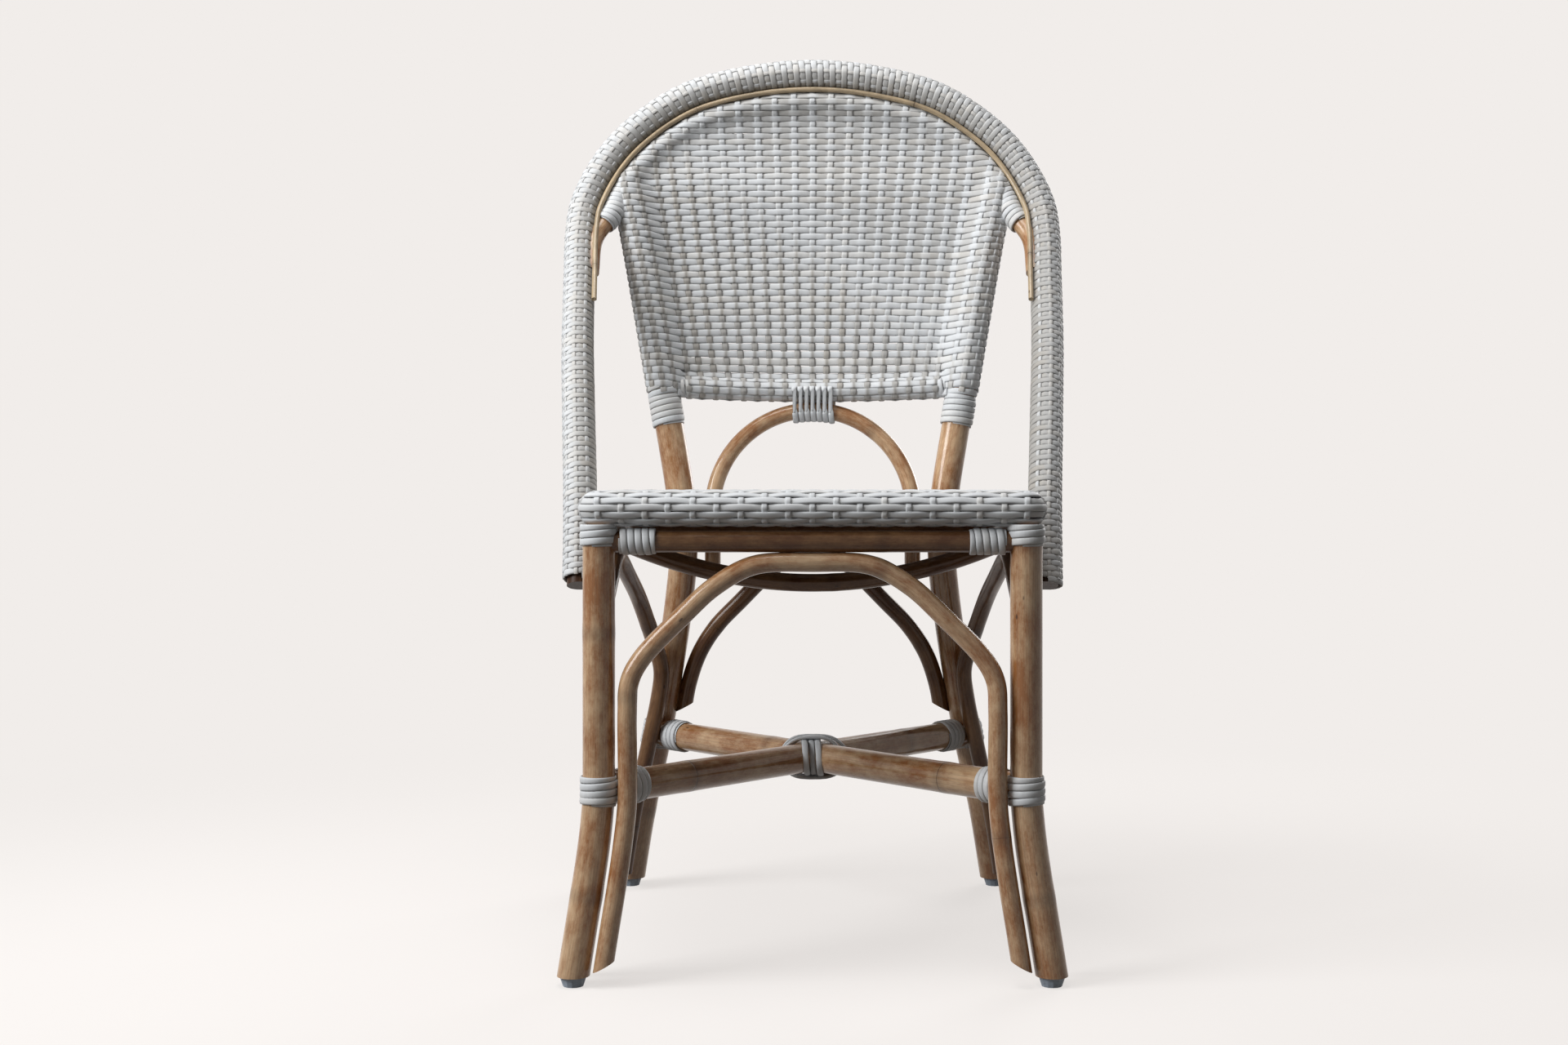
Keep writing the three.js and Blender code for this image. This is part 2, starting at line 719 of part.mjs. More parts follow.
function sideBow(sign) {
  const [rearAlong, rearOutward] = turned(postToBow, sideBowTurn);
  const [frontAlong, frontOutward] = turned(legToBow, sideBowTurn);
  const rear = sideBowHalf(postPath, rearOutward, -rearAlong);
  const front = sideBowHalf(legPath, frontOutward, frontAlong);
  const crown = new THREE.Vector3(ringHalf, sideBowReach, bowTop);
  const points = [...front, crown, ...rear.reverse()];
  return new Pole(bentPath(onSide(points, sign)), bowDiameter, thinPoleSides);
}

// A slanted end cut, higher towards the middle of the chair
function slantedCut(path, height, sign) {
  const spot = path.atHeight(height);
  const tilt = new THREE.Vector3(sign * Math.sin(bowEndSlope), 0, Math.cos(bowEndSlope));
  return blockUnder(new THREE.Vector3(sign * Math.abs(spot.x), spot.y, height), tilt);
}

const bowFront = frontBow();
const bowRear = rearBow();
const sideBows = { right: sideBow(1), left: sideBow(-1) };
const frontCuts = sideNames.map((side) => slantedCut(bowFront.path, bowFoot, signs[side]));
const rearCuts = sideNames.map((side) => slantedCut(bowRear.path, rearBowFoot, signs[side]));
addPiece('bow_front', lessAll(bowFront.solid(), frontCuts), rattan);
addPiece('bow_rear', lessAll(bowRear.solid(), [...rearCuts, ...allPosts(joinGap)]), rattan);
for (const side of sideNames) {
  const ends = [sideBows[side].path.stations[0], sideBows[side].path.stations.at(-1)];
  addPiece(`bow_${side}`, lessAll(sideBows[side].solid(), ends.map(flatCut(bowFoot))), rattan);
}

// Seat support: a sagging brace between the two sides of the apron ring
const supportPoints = Array.from({ length: fineSteps + 1 }, (_, step) => {
  const across = 1 - step / fineSteps;
  const height = apronHeight - supportSag * (1 - across ** 2);
  return new THREE.Vector3(across * ringHalf, supportPlace, height);
});
const supportHalf = thinned(supportPoints);
const supportPath = new StationPath([...supportHalf, ...mirror(supportHalf).slice(1)]);
const support = new Pole(supportPath, supportDiameter, thinPoleSides);
addPiece('seat_support_bow', support.solid().subtract(apronRing.solid(joinGap)), rattan);

// Crossed stretchers, each cut to half its depth where they cross
function stretcher(sign) {
  const from = legPath.atHeight(stretcherHeight);
  const to = postPath.atHeight(stretcherHeight);
  const ends = [new THREE.Vector3(sign * from.x, from.y, stretcherHeight)];
  ends.push(new THREE.Vector3(-sign * to.x, to.y, stretcherHeight));
  return new Pole(new StationPath(ends), stretcherDiameter, thickPoleSides);
}

const stretchers = { right: stretcher(1), left: stretcher(-1) };
const crossShare = legReach / (legReach + postPath.atHeight(stretcherHeight).x);
const crossing = stretchers.right.path.getPoint(crossShare);

function lap(other, up) {
  const face = crossing.clone().addScaledVector(up, -joinGap / 2);
  return other.solid(joinGap).subtract(blockUnder(face, up));
}

const boundPosts = allPosts(strandRise + joinGap);
const bowNotches = [bowFront.solid(joinGap), sideBows.right.solid(joinGap), sideBows.left.solid(joinGap)];
const upperLap = lap(stretchers.left, new THREE.Vector3(0, 0, 1));
const lowerLap = lap(stretchers.right, new THREE.Vector3(0, 0, -1));
const stretcherCuts = [...boundLegs, ...boundPosts, ...bowNotches];
addPiece('stretcher_lower_lap', lessAll(stretchers.right.solid(), [upperLap, ...stretcherCuts]), rattan);
addPiece('stretcher_upper_lap', lessAll(stretchers.left.solid(), [lowerLap, ...stretcherCuts]), rattan);

// Back panel frame: the hoop, the inner arch, the bottom rail and the lower arch
const hollowAt = (half) => backHollow * half / postTopSpot.x;
const railEnd = postPath.atHeight(backRail);
const railHalf = thinned(Array.from({ length: fineSteps + 1 }, (_, step) => {
  const across = 1 - step / fineSteps;
  const dip = 1 - across ** 2;
  const behind = hollowAt(railEnd.x) * dip;
  return new THREE.Vector3(across * railEnd.x, railEnd.y + behind, backRail - backRailSag * dip);
}));
const railPath = new StationPath([...railHalf, ...mirror(railHalf).slice(1)]);
const rail = new Pole(railPath, backRailDiameter, thinPoleSides);
const railMiddle = railHalf.at(-1);

const lowerArchTop = railMiddle.z - (backRailWovenDiameter + lowerArchDiameter) / 2 - joinGap;
const lowerArchSpring = lowerArchTop - lowerArchRadius;
const lowerArchOffset = seatRearCorner + (seatEdge + lowerArchDiameter) / 2 + joinGap;
const lowerArchBehind = seatRingReach - seatRearCorner
  + Math.sqrt(lowerArchOffset ** 2 - (lowerArchRadius - seatCornerCentre) ** 2);

function lowerArchSpot(across, height) {
  const rise = Math.max(0, (height - seatHeight) / (lowerArchTop - seatHeight));
  return new THREE.Vector3(across, THREE.MathUtils.lerp(lowerArchBehind, railMiddle.y, rise), height);
}

const lowerArchCurve = Array.from({ length: fineSteps + 1 }, (_, step) => {
  const angle = step / fineSteps * Math.PI / 2;
  const height = lowerArchSpring + lowerArchRadius * Math.sin(angle);
  return lowerArchSpot(lowerArchRadius * Math.cos(angle), height);
});
const lowerArchHalf = [lowerArchSpot(lowerArchRadius, lowerArchFoot), ...thinned(lowerArchCurve)];
const lowerArchPath = new StationPath([...lowerArchHalf, ...mirror(lowerArchHalf).slice(1)]);
const lowerArch = new Pole(lowerArchPath, lowerArchDiameter, thinPoleSides);

addPiece('hoop_pole', hoopPole.solid(), rattan);
addPiece('hoop_weave', hoopWoven.solid().subtract(hoopPole.solid(weaveClearance)), strand);
addPiece('inner_arch', lessAll(arch.solid(), [hoopWoven.solid(joinGap), trim.solid(joinGap)]), rattan);
addPiece('arch_trim', trim.solid(), peel);
addPiece('back_rail', lessAll(rail.solid(), allPosts(joinGap)), rattan);
addPiece('lower_arch', lowerArch.solid(), rattan);

// Back panel: a hollowed sheet of weave that wraps the posts, the arch and the rail
const postBandTop = backRail - backRailWovenDiameter / 2 - postBandDrop;
const archWrapAt = innerArchPath.distanceAtHeight(archWrapFoot);

function ribPitchAt(height) {
  const share = (height - backRail) / (hoopTop - backRail);
  return THREE.MathUtils.lerp(backRibPitchLow, backRibPitchHigh, share);
}

// The sheet has a rib down each second warp, which fans out to the top, and ends on its frame's middle line
function ribbedSheet(rows) {
  const count = rows.length - 1;
  const ribs = 2 * backSideRibs + 1;
  const columns = 3 * ribs - 1;
  const sheet = new THREE.BoxGeometry(columns, 1, count, columns, 1, count);
  const place = sheet.attributes.position;
  for (let corner = 0; corner < place.count; corner += 1) {
    const column = Math.round(place.getX(corner) + columns / 2);
    const row = Math.round(place.getZ(corner) + count / 2);
    const spot = rows[row];
    const fromCrest = column % 3 - 1;
    const across = ribPitchAt(spot.z) * (Math.floor(column / 3) - backSideRibs) + fromCrest * ribFootWidth / 2;
    const dip = Math.max(0, 1 - (across / spot.x) ** 2);
    const groove = fromCrest === 0 ? 0 : 2 * ribRise;
    const behind = backSetback + hollowAt(spot.x) * dip + place.getY(corner) * (backThickness - groove);
    const sag = backRailSag * dip * (1 - row / count);
    place.setXYZ(corner, across, spot.y + behind, spot.z - sag);
  }
  return solidOf(sheet);
}

function backSheet() {
  const archSpots = innerArchPath.stations.filter((spot) => spot.x > backTopHalf && spot.z > postTop);
  const edge = [railEnd, ...archSpots];
  const half = edge.map((spot) => new THREE.Vector2(spot.x, spot.z));
  half.unshift(new THREE.Vector2(edge[0].x, backRail - 2 * backRailSag));
  const farHalf = half.map((spot) => new THREE.Vector2(-spot.x, spot.y)).reverse();
  return ribbedSheet(edge).intersect(throughDepth([...half, ...farHalf]));
}

function centreCorner(distance, corner, height) {
  const across = distance - bindingLength(centreTurns) / 2;
  const archDrop = lowerArchRadius - Math.sqrt(lowerArchRadius ** 2 - across ** 2);
  const half = centreSides / 2;
  const angle = Math.PI * (corner < half ? corner : corner - 1) / (half - 1);
  const middle = corner < half ? railMiddle.z : lowerArchTop - archDrop;
  const core = corner < half ? backRailWovenDiameter / 2 : lowerArchDiameter / 2 + chordTolerance;
  const reach = core / Math.cos(Math.PI / centreSides) + height;
  return new THREE.Vector3(across, railMiddle.y + reach * Math.cos(angle), middle + reach * Math.sin(angle));
}

function centreEnvelope() {
  const outline = (height) => Array.from({ length: centreSides }, (_, corner) => {
    const spot = centreCorner(bindingLength(centreTurns) / 2, corner, height);
    return new THREE.Vector2(spot.y, spot.z);
  });
  const shape = new THREE.Shape(outline(strandRise + 2 * joinGap));
  shape.holes.push(new THREE.Path(outline(0)));
  const depth = bindingLength(centreTurns) + 2 * joinGap;
  const envelope = new THREE.ExtrudeGeometry(shape, { depth, bevelEnabled: false });
  envelope.rotateY(Math.PI / 2);
  envelope.rotateX(Math.PI / 2);
  envelope.translate(-depth / 2, 0, 0);
  return solidOf(envelope);
}

function backWeave() {
  const postLength = postPath.length();
  const wrapFrom = postPath.distanceAtHeight(postBandTop) + joinGap;
  const wraps = [backSheet(), new Pole(railPath, backRailWovenDiameter, thickPoleSides).solid()];
  for (const side of sideNames) {
    const wrapPath = partPath(posts[side].path, wrapFrom, postLength);
    wraps.push(new Pole(wrapPath, postWovenDiameter, thickPoleSides).solid());
  }
  const archWrap = partPath(innerArchPath, archWrapAt, innerArchPath.length() - archWrapAt);
  wraps.push(new Pole(archWrap, archWovenDiameter, thickPoleSides).solid());
  const whole = wraps.reduce((joined, wrap) => joined.add(wrap));
  const frame = [arch.solid(weaveClearance), rail.solid(weaveClearance), ...allPosts(weaveClearance)];
  return lessAll(whole, [...frame, hoopWoven.solid(joinGap), trim.solid(joinGap), centreEnvelope()]);
}

addPiece('back_weave', backWeave(), strand);

// Bindings at the joints
function addBindings() {
  const stretcherLength = stretchers.right.path.length();
  const stretcherBand = bindingLength(stretcherTurns);
  const middle = stretcherHeight - bindingLength(legTurns) / 2;
  const apronStart = legDiameter / 2 + strandRise + 2 * joinGap;
  const apronFar = frontApron.path.length() - apronStart - bindingLength(apronTurns);
  for (const side of sideNames) {
    const leg = legs[side];
    const post = posts[side];
    const legTopStart = leg.path.distanceAtHeight(seatUnderside - joinGap) - bindingLength(legTopTurns);
    const postStart = post.path.distanceAtHeight(postBandTop) - bindingLength(postTurns);
    const farEnd = stretcherLength - stretcherBandSetback - stretcherBand;
    addPiece(`band_leg_top_${side}`, poleBinding(leg, legTopStart, legTopTurns), strand);
    addPiece(`band_leg_${side}`, poleBinding(leg, leg.path.distanceAtHeight(middle), legTurns), strand);
    const postMiddle = post.path.distanceAtHeight(middle);
    addPiece(`band_rear_leg_${side}`, poleBinding(post, postMiddle, legTurns), strand);
    addPiece(`band_post_${side}`, poleBinding(post, postStart, postTurns), strand);
    const beam = stretchers[side];
    addPiece(`band_stretcher_front_${side}`, poleBinding(beam, stretcherBandSetback, stretcherTurns), strand);
    addPiece(`band_stretcher_rear_${side}`, poleBinding(beam, farEnd, stretcherTurns), strand);
    const apronFrom = side === 'right' ? apronStart : apronFar;
    addPiece(`band_apron_${side}`, poleBinding(frontApron, apronFrom, apronTurns), strand);
  }
  addPiece('band_lower_arch', binding(centreCorner, centreSides, 0, centreTurns), strand);
}
addBindings();

// The crossing is lashed in both directions, the second lashing over the first
function crossCorner(slant, along, lift) {
  const radius = stretcherDiameter / 2 / Math.cos(Math.PI / crossSides);
  const half = bindingLength(crossTurns) / 2;
  return (distance, corner, height) => {
    const angle = (corner + 1 / 2) * 2 * Math.PI / crossSides;
    const spread = Math.sign(Math.cos(angle)) * half / Math.tan(slant);
    const reach = spread + (radius / Math.sin(slant) + lift + height) * Math.cos(angle);
    const rise = (radius + lift + height) * Math.sin(angle);
    const spot = crossing.clone().addScaledVector(along, reach).setZ(stretcherHeight + rise);
    const side = new THREE.Vector3(along.y, -along.x, 0);
    return spot.addScaledVector(side, distance - half);
  };
}

const beamLine = stretchers.right.path.getTangentAt(0);
const slantFromFront = Math.asin(Math.abs(beamLine.x));
const lashFront = crossCorner(slantFromFront, new THREE.Vector3(0, 1, 0), 0);
const lashSide = crossCorner(Math.PI / 2 - slantFromFront, new THREE.Vector3(1, 0, 0), strandRise + joinGap);
addPiece('lashing_cross_front', binding(lashFront, crossSides, 0, crossTurns), strand);
addPiece('lashing_cross_side', binding(lashSide, crossSides, 0, crossTurns), strand);
console.log(`least gap between turns of a binding: ${leastGap.toFixed(2)} mm`);

// The frame's origin is under the middle of the chair, on the floor
const bounds = new THREE.Box3().setFromObject(chair);
const middleSpot = bounds.getCenter(new THREE.Vector3());
chair.position.set(-middleSpot.x, -middleSpot.y, -bounds.min.z);

export default chair;
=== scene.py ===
"""Dresses the side chair: smooth bent poles, woven strands, bindings, finishes, light and camera."""
import json
import math

import bmesh
import bpy
import numpy as np
from bpy.props import FloatProperty, FloatVectorProperty, IntProperty, PointerProperty
from bpy.types import Operator, Panel, PropertyGroup
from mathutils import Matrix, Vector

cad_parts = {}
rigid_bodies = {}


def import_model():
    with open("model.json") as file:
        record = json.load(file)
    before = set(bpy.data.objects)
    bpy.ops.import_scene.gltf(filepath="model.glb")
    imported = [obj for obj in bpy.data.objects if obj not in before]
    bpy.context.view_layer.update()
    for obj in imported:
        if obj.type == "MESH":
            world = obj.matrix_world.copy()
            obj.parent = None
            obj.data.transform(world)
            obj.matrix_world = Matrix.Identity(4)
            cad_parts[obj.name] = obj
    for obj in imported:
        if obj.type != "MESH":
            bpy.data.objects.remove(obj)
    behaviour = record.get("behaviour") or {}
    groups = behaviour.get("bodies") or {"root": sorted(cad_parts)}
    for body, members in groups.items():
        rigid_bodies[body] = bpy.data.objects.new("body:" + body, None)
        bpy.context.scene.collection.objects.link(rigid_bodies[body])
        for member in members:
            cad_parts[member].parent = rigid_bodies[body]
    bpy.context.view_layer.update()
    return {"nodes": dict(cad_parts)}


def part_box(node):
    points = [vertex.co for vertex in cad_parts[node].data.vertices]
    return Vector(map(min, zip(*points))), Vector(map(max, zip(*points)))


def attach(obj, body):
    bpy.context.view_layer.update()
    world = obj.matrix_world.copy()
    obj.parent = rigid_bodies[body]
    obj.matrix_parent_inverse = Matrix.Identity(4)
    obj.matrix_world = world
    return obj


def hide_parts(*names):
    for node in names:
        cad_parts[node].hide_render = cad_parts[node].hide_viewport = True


bl_info = {
    "name": "Woven side chair",
    "version": (1, 0, 0),
    "blender": (4, 5, 0),
    "location": "View3D > Sidebar > Chair",
    "description": "Builds a bent pole side chair with a woven seat and back around its packed frame",
    "category": "Object",
}

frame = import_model()

SIGNS = {"right": 1, "left": -1}
SENSOR_WIDTH = 36

# How finely lines and sections are drawn
POLE_SIDES = 28
CORNER_STEPS = 1
POINT_SPACING = 0.004
FEWEST_POINTS = 3
KNOT_STEPS = 60
BEND_STEPS = 60
RING_STEPS = 24
ARCH_STEPS = 240
ARCH_STRIDE = 6
TRIM_STEPS = 300
WINDING_STEPS = 26
LASHING_STEPS = 40
TINY = 1e-9

# Small lengths and shares that pieces have in common
RUN_ON = 0.012
PANEL_RAISE = 0.001
STEEP_SHARE = 0.9
LEVEL_SHARE = 0.8
ROUNDING_SHARE = 0.24
SHARP_ANGLE = math.radians(42)

# Nodes of the cane: ranges of the first one and of the spacing, and the swelling at each
FIRST_NODE = (0.03, 0.2)
NODE_SPACING = (0.24, 0.34)
NODE_SWELL_SHARE = 0.022
NODE_LENGTH_SHARE = 0.3
NO_NODE_NEAR = 1
GRAIN_SHIFT = 40

# Noises of the finishes, each as its stretch, scale, detail and roughness
FIBRES = ((1, 1, 0.02), 900, 2, 0.6)
STREAKS = ((1, 1, 0.2), 240, 4, 0.7)
BLOTCHES = ((1, 1, 0.55), 36, 6, 0.72)
SPECK_PATCHES = ((1, 1, 0.6), 30, 1, 0.5)
STRAND_LINES = ((1, 1, 0.03), 1500, 2, 0.6)
STRAND_CLOUDS = ((1, 1, 1), 25, 2, 0.5)
SCUFFS = ((1, 1, 3), 220, 3, 0.6)
SPECK_SCALE = 85
SPECK_STRETCH = (1, 1, 0.45)

# Where each mask starts and where it is full; the node's ring and halo are lengths along the pole
STREAK_RAMP = (0.35, 0.7)
BLOTCH_RAMP = (0.34, 0.68)
FIBRE_RAMP = (0.3, 0.7)
RING_RAMP = (0.0004, 0.0016)
HALO_RAMP = (0.001, 0.011)
SPECK_RAMP = (0.05, 0.13)
PATCH_RAMP = (0.56, 0.62)
# The dip and flank ramps mask painted shade: where a strand dips under another, and along its sides
DIP_SHADE_RAMP = (0.35, 1)
TONE_RAMP = (0.55, 1)
FLANK_SHADE_RAMP = (0.34, 0.52)
SCUFF_RAMP = (0.45, 0.75)

# How strongly each mask shows in the finishes
GRAIN_SHARES = {"streaks": 0.35, "blotches": 0.85, "fibres": 0.22, "ring": 0.75, "halo": 0.28, "specks": 0.8}
GRAIN_HEIGHT_SHARES = (0.5, 1.5)
# Among the strand shares, warm dip, flank and dip set painted shade; warm tone, least and clouds set the
# strands' own tone
STRAND_SHARES = {"warm tone": 0.35, "warm dip": 0.7, "flank": 0.26, "dip": 0.5, "least": 0.9, "clouds": 0.2}
PEEL_SHADE_SHARE = 0.62
SCUFF_SHADE_SHARE = 0.75
LACQUER_COAT_SHARE = 0.65
DEEP_COAT_SHARE = 0.3
COAT_ROUGHNESS = 0.15
CANE_SHEEN = 0.1
STRAND_SHEEN = 0.35
STRAND_GIRTH = 0.016
TONE_SPREAD = 3

# Roughness as its least value and what the finish's noise adds; bumps as their height and strength
CANE_ROUGHNESS = (0.24, 0.2)
STRAND_ROUGHNESS = (0.46, 0.16)
GLIDE_ROUGHNESS = (0.45, 0.2)
FLOOR_ROUGHNESS = 0.9
CANE_BUMP = (0.0003, 0.35)
STRAND_BUMP = (0.0001, 0.25)
GLIDE_BUMP = (0.0002, 0.3)

# Studio
FADE_START_SHARE = 0.3
SKY_TINT = (1, 0.98, 0.96)
LAMPS = {
    "key": {"spot": (-2.05, -0.95, 1.6), "target": (0, 0.1, 0.45), "size": 1.2, "tint": (0.98, 0.99, 1)},
    "top": {"spot": (-0.3, -0.3, 2.4), "target": (0, 0.1, 0.6), "size": 1.1, "tint": (1, 0.99, 0.98)},
    "fill": {"spot": (0.9, -2.2, 1.3), "target": (0, 0, 0.5), "size": 1.8, "tint": (0.96, 0.98, 1)},
    "rear": {"spot": (1.5, 2.3, 1.3), "target": (0, 0, 0.5), "size": 1.6, "tint": (1, 0.99, 0.98)},
}

# Bends, as shares of the height and the sideways run that they cover
LEG_FLARE_SHARES = [(0, 1), (0.25, 0.72), (0.52, 0.41), (0.78, 0.15), (1, 0)]
POST_LOWER_SHARES = [(0, 1), (0.19, 0.77), (0.407, 0.43), (0.754, 0.03), (0.89, -0.05), (1, 0)]
POST_UPPER_SHARES = [(0.05, 0.03), (0.29, 0.26), (0.83, 0.8)]
SHOULDER_SHARES = [(1, 0), (0.99, 0.2), (0.93, 0.35), (0.69, 0.66), (0.53, 0.84), (0.32, 0.98)]
REAR_BOW_SHARES = [
    (1, 0), (0.95, 0.22), (0.86, 0.41), (0.73, 0.56), (0.55, 0.7), (0.35, 0.85), (0.16, 0.97),
]
SIDE_BOW_SHARES = [(0, 0), (0.25, 0.04), (0.45, 0.17), (0.64, 0.34), (0.84, 0.66), (0.96, 0.86)]
HOOP_SEAT_SHARE = 0.902
HOOP_SHARES = [
    (0.891, 0, 0), (HOOP_SEAT_SHARE, 0.126, 0.093), (0.937, 0.296, 0.298), (0.968, 0.43, 0.49),
    (0.99, 0.57, 0.689), (1, 0.667, 0.805), (0.984, 0.73, 0.864), (0.892, 0.819, 0.924),
    (0.767, 0.885, 0.957), (0.547, 0.953, 0.983), (0.267, 0.989, 0.997), (0, 1, 1),
]


def length(default, description):
    return FloatProperty, dict(default=default, description=description, min=0, unit="LENGTH", precision=4)


def angle(degrees, description):
    return FloatProperty, dict(default=math.radians(degrees), description=description, unit="ROTATION")


def colour(default, description):
    return FloatVectorProperty, dict(default=default, description=description, size=3, min=0, max=1,
                                     subtype="COLOR")


def power(default, description):
    return FloatProperty, dict(default=default, description=description, min=0, unit="POWER")


def amount(default, description, make=FloatProperty, **limits):
    return make, dict(default=default, description=description, **limits)


def named(group):
    """Makes the properties of a group, each named after its key"""
    for key, (make, settings) in group.__annotations__.items():
        group.__annotations__[key] = make(name=key.replace("_", " ").capitalize(), **settings)
    return group


@named
class ChairPoles(PropertyGroup):
    """Sizes and places of the poles"""
    join_gap: length(0.0003, "Gap between pieces that touch")
    bow_clearance: length(0.0006, "Gap between a bow and the bindings beside it")
    leg_diameter: length(0.03, "Front leg's diameter")
    leg_reach: length(0.1975, "From the middle plane to a front leg")
    leg_flare: length(0.022, "How far a front foot stands out sideways")
    leg_forward: length(0.012, "How far a front foot stands out forwards")
    leg_knee: length(0.17, "Height where the flare starts")
    sole_top: length(0.0093, "Height of the legs' cut feet")
    post_diameter: length(0.032, "Rear post's diameter")
    post_flare: length(0.06, "How far a rear foot stands out sideways")
    post_rake: length(0.037, "How far a rear foot stands out backwards")
    post_seat_angle: angle(26, "Where a post passes the seat's corner")
    post_top: length(0.803, "Height where a post meets the arch")
    post_tip: length(0.786, "Height of a post's upper end")
    seat_ring_diameter: length(0.022, "Diameter of the seat's ring and rail")
    apron_diameter: length(0.02, "Apron's diameter")
    bow_diameter: length(0.018, "Diameter of the bows")
    bow_foot: length(0.019, "Height of a bow's feet")
    bow_shoulder: length(0.25, "Height where a bow leaves its leg")
    front_bow_turn: angle(16, "How far the front bow stands forward")
    side_bow_turn: angle(13, "How far a side bow stands outside")
    side_bow_reach: length(0.195, "A side bow's crown behind the front legs")
    rear_bow_foot: length(0.207, "Height of the rear bow's feet")
    bow_end_slope: angle(28, "Slope of a bow's cut feet")
    support_diameter: length(0.018, "Seat support's diameter")
    support_place: length(0.15, "Seat support behind the front legs")
    support_sag: length(0.046, "How deep the seat support sags")
    stretcher_diameter: length(0.03, "Stretcher's diameter")
    stretcher_height: length(0.1775, "Height of the stretchers")
    hoop_height: length(0.953, "Height of the hoop's top")
    hoop_end: length(0.366, "Height of the hoop's ends")
    hoop_front: length(0.15, "Hoop's ends behind the front legs")
    hoop_rake: length(0.302, "How far the hoop leans back")
    hoop_pole_diameter: length(0.026, "Diameter of the pole in the hoop")
    hoop_woven_diameter: length(0.036, "Hoop's diameter with its weave")
    hoop_overrun: length(0.008, "How far the hoop runs on below its ends")
    hoop_bare_end: length(0.0015, "Length of pole that the weave leaves bare")
    arch_diameter: length(0.02, "Inner arch's diameter")
    arch_woven_diameter: length(0.028, "Inner arch's diameter with its weave")
    arch_stub_offset: length(0.012, "Inner arch's offset at its end")
    arch_foot: length(0.695, "Height where the inner arch ends")
    arch_narrow: length(0.737, "Height where the inner arch is thin")
    arch_narrow_offset: length(0.0165, "Inner arch's offset there")
    arch_run_out: length(0.775, "Height where the inner arch runs out")
    arch_wrap_foot: length(0.757, "Height where the arch's wrap ends")
    trim_diameter: length(0.0058, "Trim's diameter")
    trim_foot: length(0.655, "Height where the trim ends")
    back_rail: length(0.571, "Height of the panel's rail at its ends")
    back_rail_diameter: length(0.015, "Rail's diameter")
    back_rail_sag: length(0.005, "How deep the rail sags")
    lower_arch_radius: length(0.113, "Lower arch's bend")
    lower_arch_diameter: length(0.018, "Lower arch's diameter")
    lower_arch_foot: length(0.37, "Height of the lower arch's feet")


@named
class ChairWeave(PropertyGroup):
    """Sizes of the seat, the back and their strands"""
    seat_height: length(0.454, "Top of the seat")
    seat_width: length(0.436, "Seat's width at its edges")
    seat_edge: length(0.033, "Thickness of the seat's edge")
    seat_front_corner: length(0.006, "Bend of the seat ring's front corners")
    seat_rear_corner: length(0.12, "Bend of the seat ring's rear corners")
    seat_tuck: length(0.002, "How far the front rows run past the corners")
    seat_ring_reach: length(0.3735, "Back of the seat ring behind the front legs")
    seat_row_pitch: length(0.0066, "From one row of the seat to the next")
    seat_warp_pitch: length(0.022, "From one warp of the seat to the next")
    back_hollow: length(0.015, "How deep the panel is hollowed")
    back_setback: length(0.003, "The panel behind the middle of its posts")
    back_step: length(0.0085, "The panel before the middle of the arch")
    back_step_from: length(0.69, "Height where the panel starts forward")
    back_step_to: length(0.9, "Height where the panel has come forward")
    back_row_foot_pitch: length(0.0077, "From one row of the panel to the next below")
    back_row_top_pitch: length(0.0066, "From one row of the panel to the next above")
    back_row_crown: length(0.0035, "How far a row rises to the middle")
    back_warp_foot_pitch: length(0.0158, "From one warp to the next at the rail")
    back_warp_top_pitch: length(0.0218, "From one warp to the next at the top")
    post_woven_diameter: length(0.038, "Post's diameter with its weave")
    rail_woven_diameter: length(0.025, "Rail's diameter with its weave")
    wrap_warp_pitch: length(0.013, "From one warp to the next round a post")
    hoop_foot_pitch: length(0.0059, "From one turn to the next at the hoop's ends")
    hoop_top_pitch: length(0.007, "From one turn to the next at the hoop's top")
    strand_thickness: length(0.0019, "Thickness of a woven strand")
    warp_width: length(0.0058, "Width of a warp")
    hoop_warp_width: length(0.0042, "Width of a warp of the hoop")
    binding_width: length(0.0064, "Width of a binding strand")
    binding_thickness: length(0.0032, "Thickness of a binding strand")
    wound_thickness: length(0.0023, "Thickness of a strand wound tight round a pole")
    binding_pitch: length(0.0068, "From one turn of a binding to the next")


@named
class ChairColours(PropertyGroup):
    """Colours of the finishes"""
    cane_pale: colour((0.67, 0.46, 0.275), "Pale parts of a lacquered pole")
    cane_warm: colour((0.33, 0.135, 0.045), "Warm brown parts of a lacquered pole")
    cane_dark: colour((0.04, 0.015, 0.006), "Nodes, specks and cut ends")
    # The poles inside the weave: their own brown, darkened further as painted shade seen through the gaps and
    # at bare ends
    cane_inner_shaded: colour((0.1, 0.05, 0.027), "Unlacquered poles inside the weave")
    # The two colours below are a darker copy of the lacquered cane for the poles under the seat: painted
    # shade of the seat, on a deeper brown
    cane_deep_shaded: colour((0.24, 0.125, 0.055), "Pale parts of the aprons and bows")
    cane_deep_shaded_warm: colour((0.11, 0.043, 0.016), "Brown parts of those poles")
    strand: colour((0.65, 0.668, 0.685), "Woven strands")
    # Strand warm is also mixed into the dips and the panel's shade columns: painted shade
    strand_warm: colour((0.71, 0.67, 0.61), "Warmer strands among them")
    peel: colour((0.6, 0.46, 0.29), "Trim along the arch")
    glide: colour((0.38, 0.44, 0.52), "Moulded glides")
    floor: colour((0.88, 0.846, 0.823), "Floor and backdrop")
    floor_bounce: colour((0.09, 0.08, 0.07), "Light that the floor gives back")


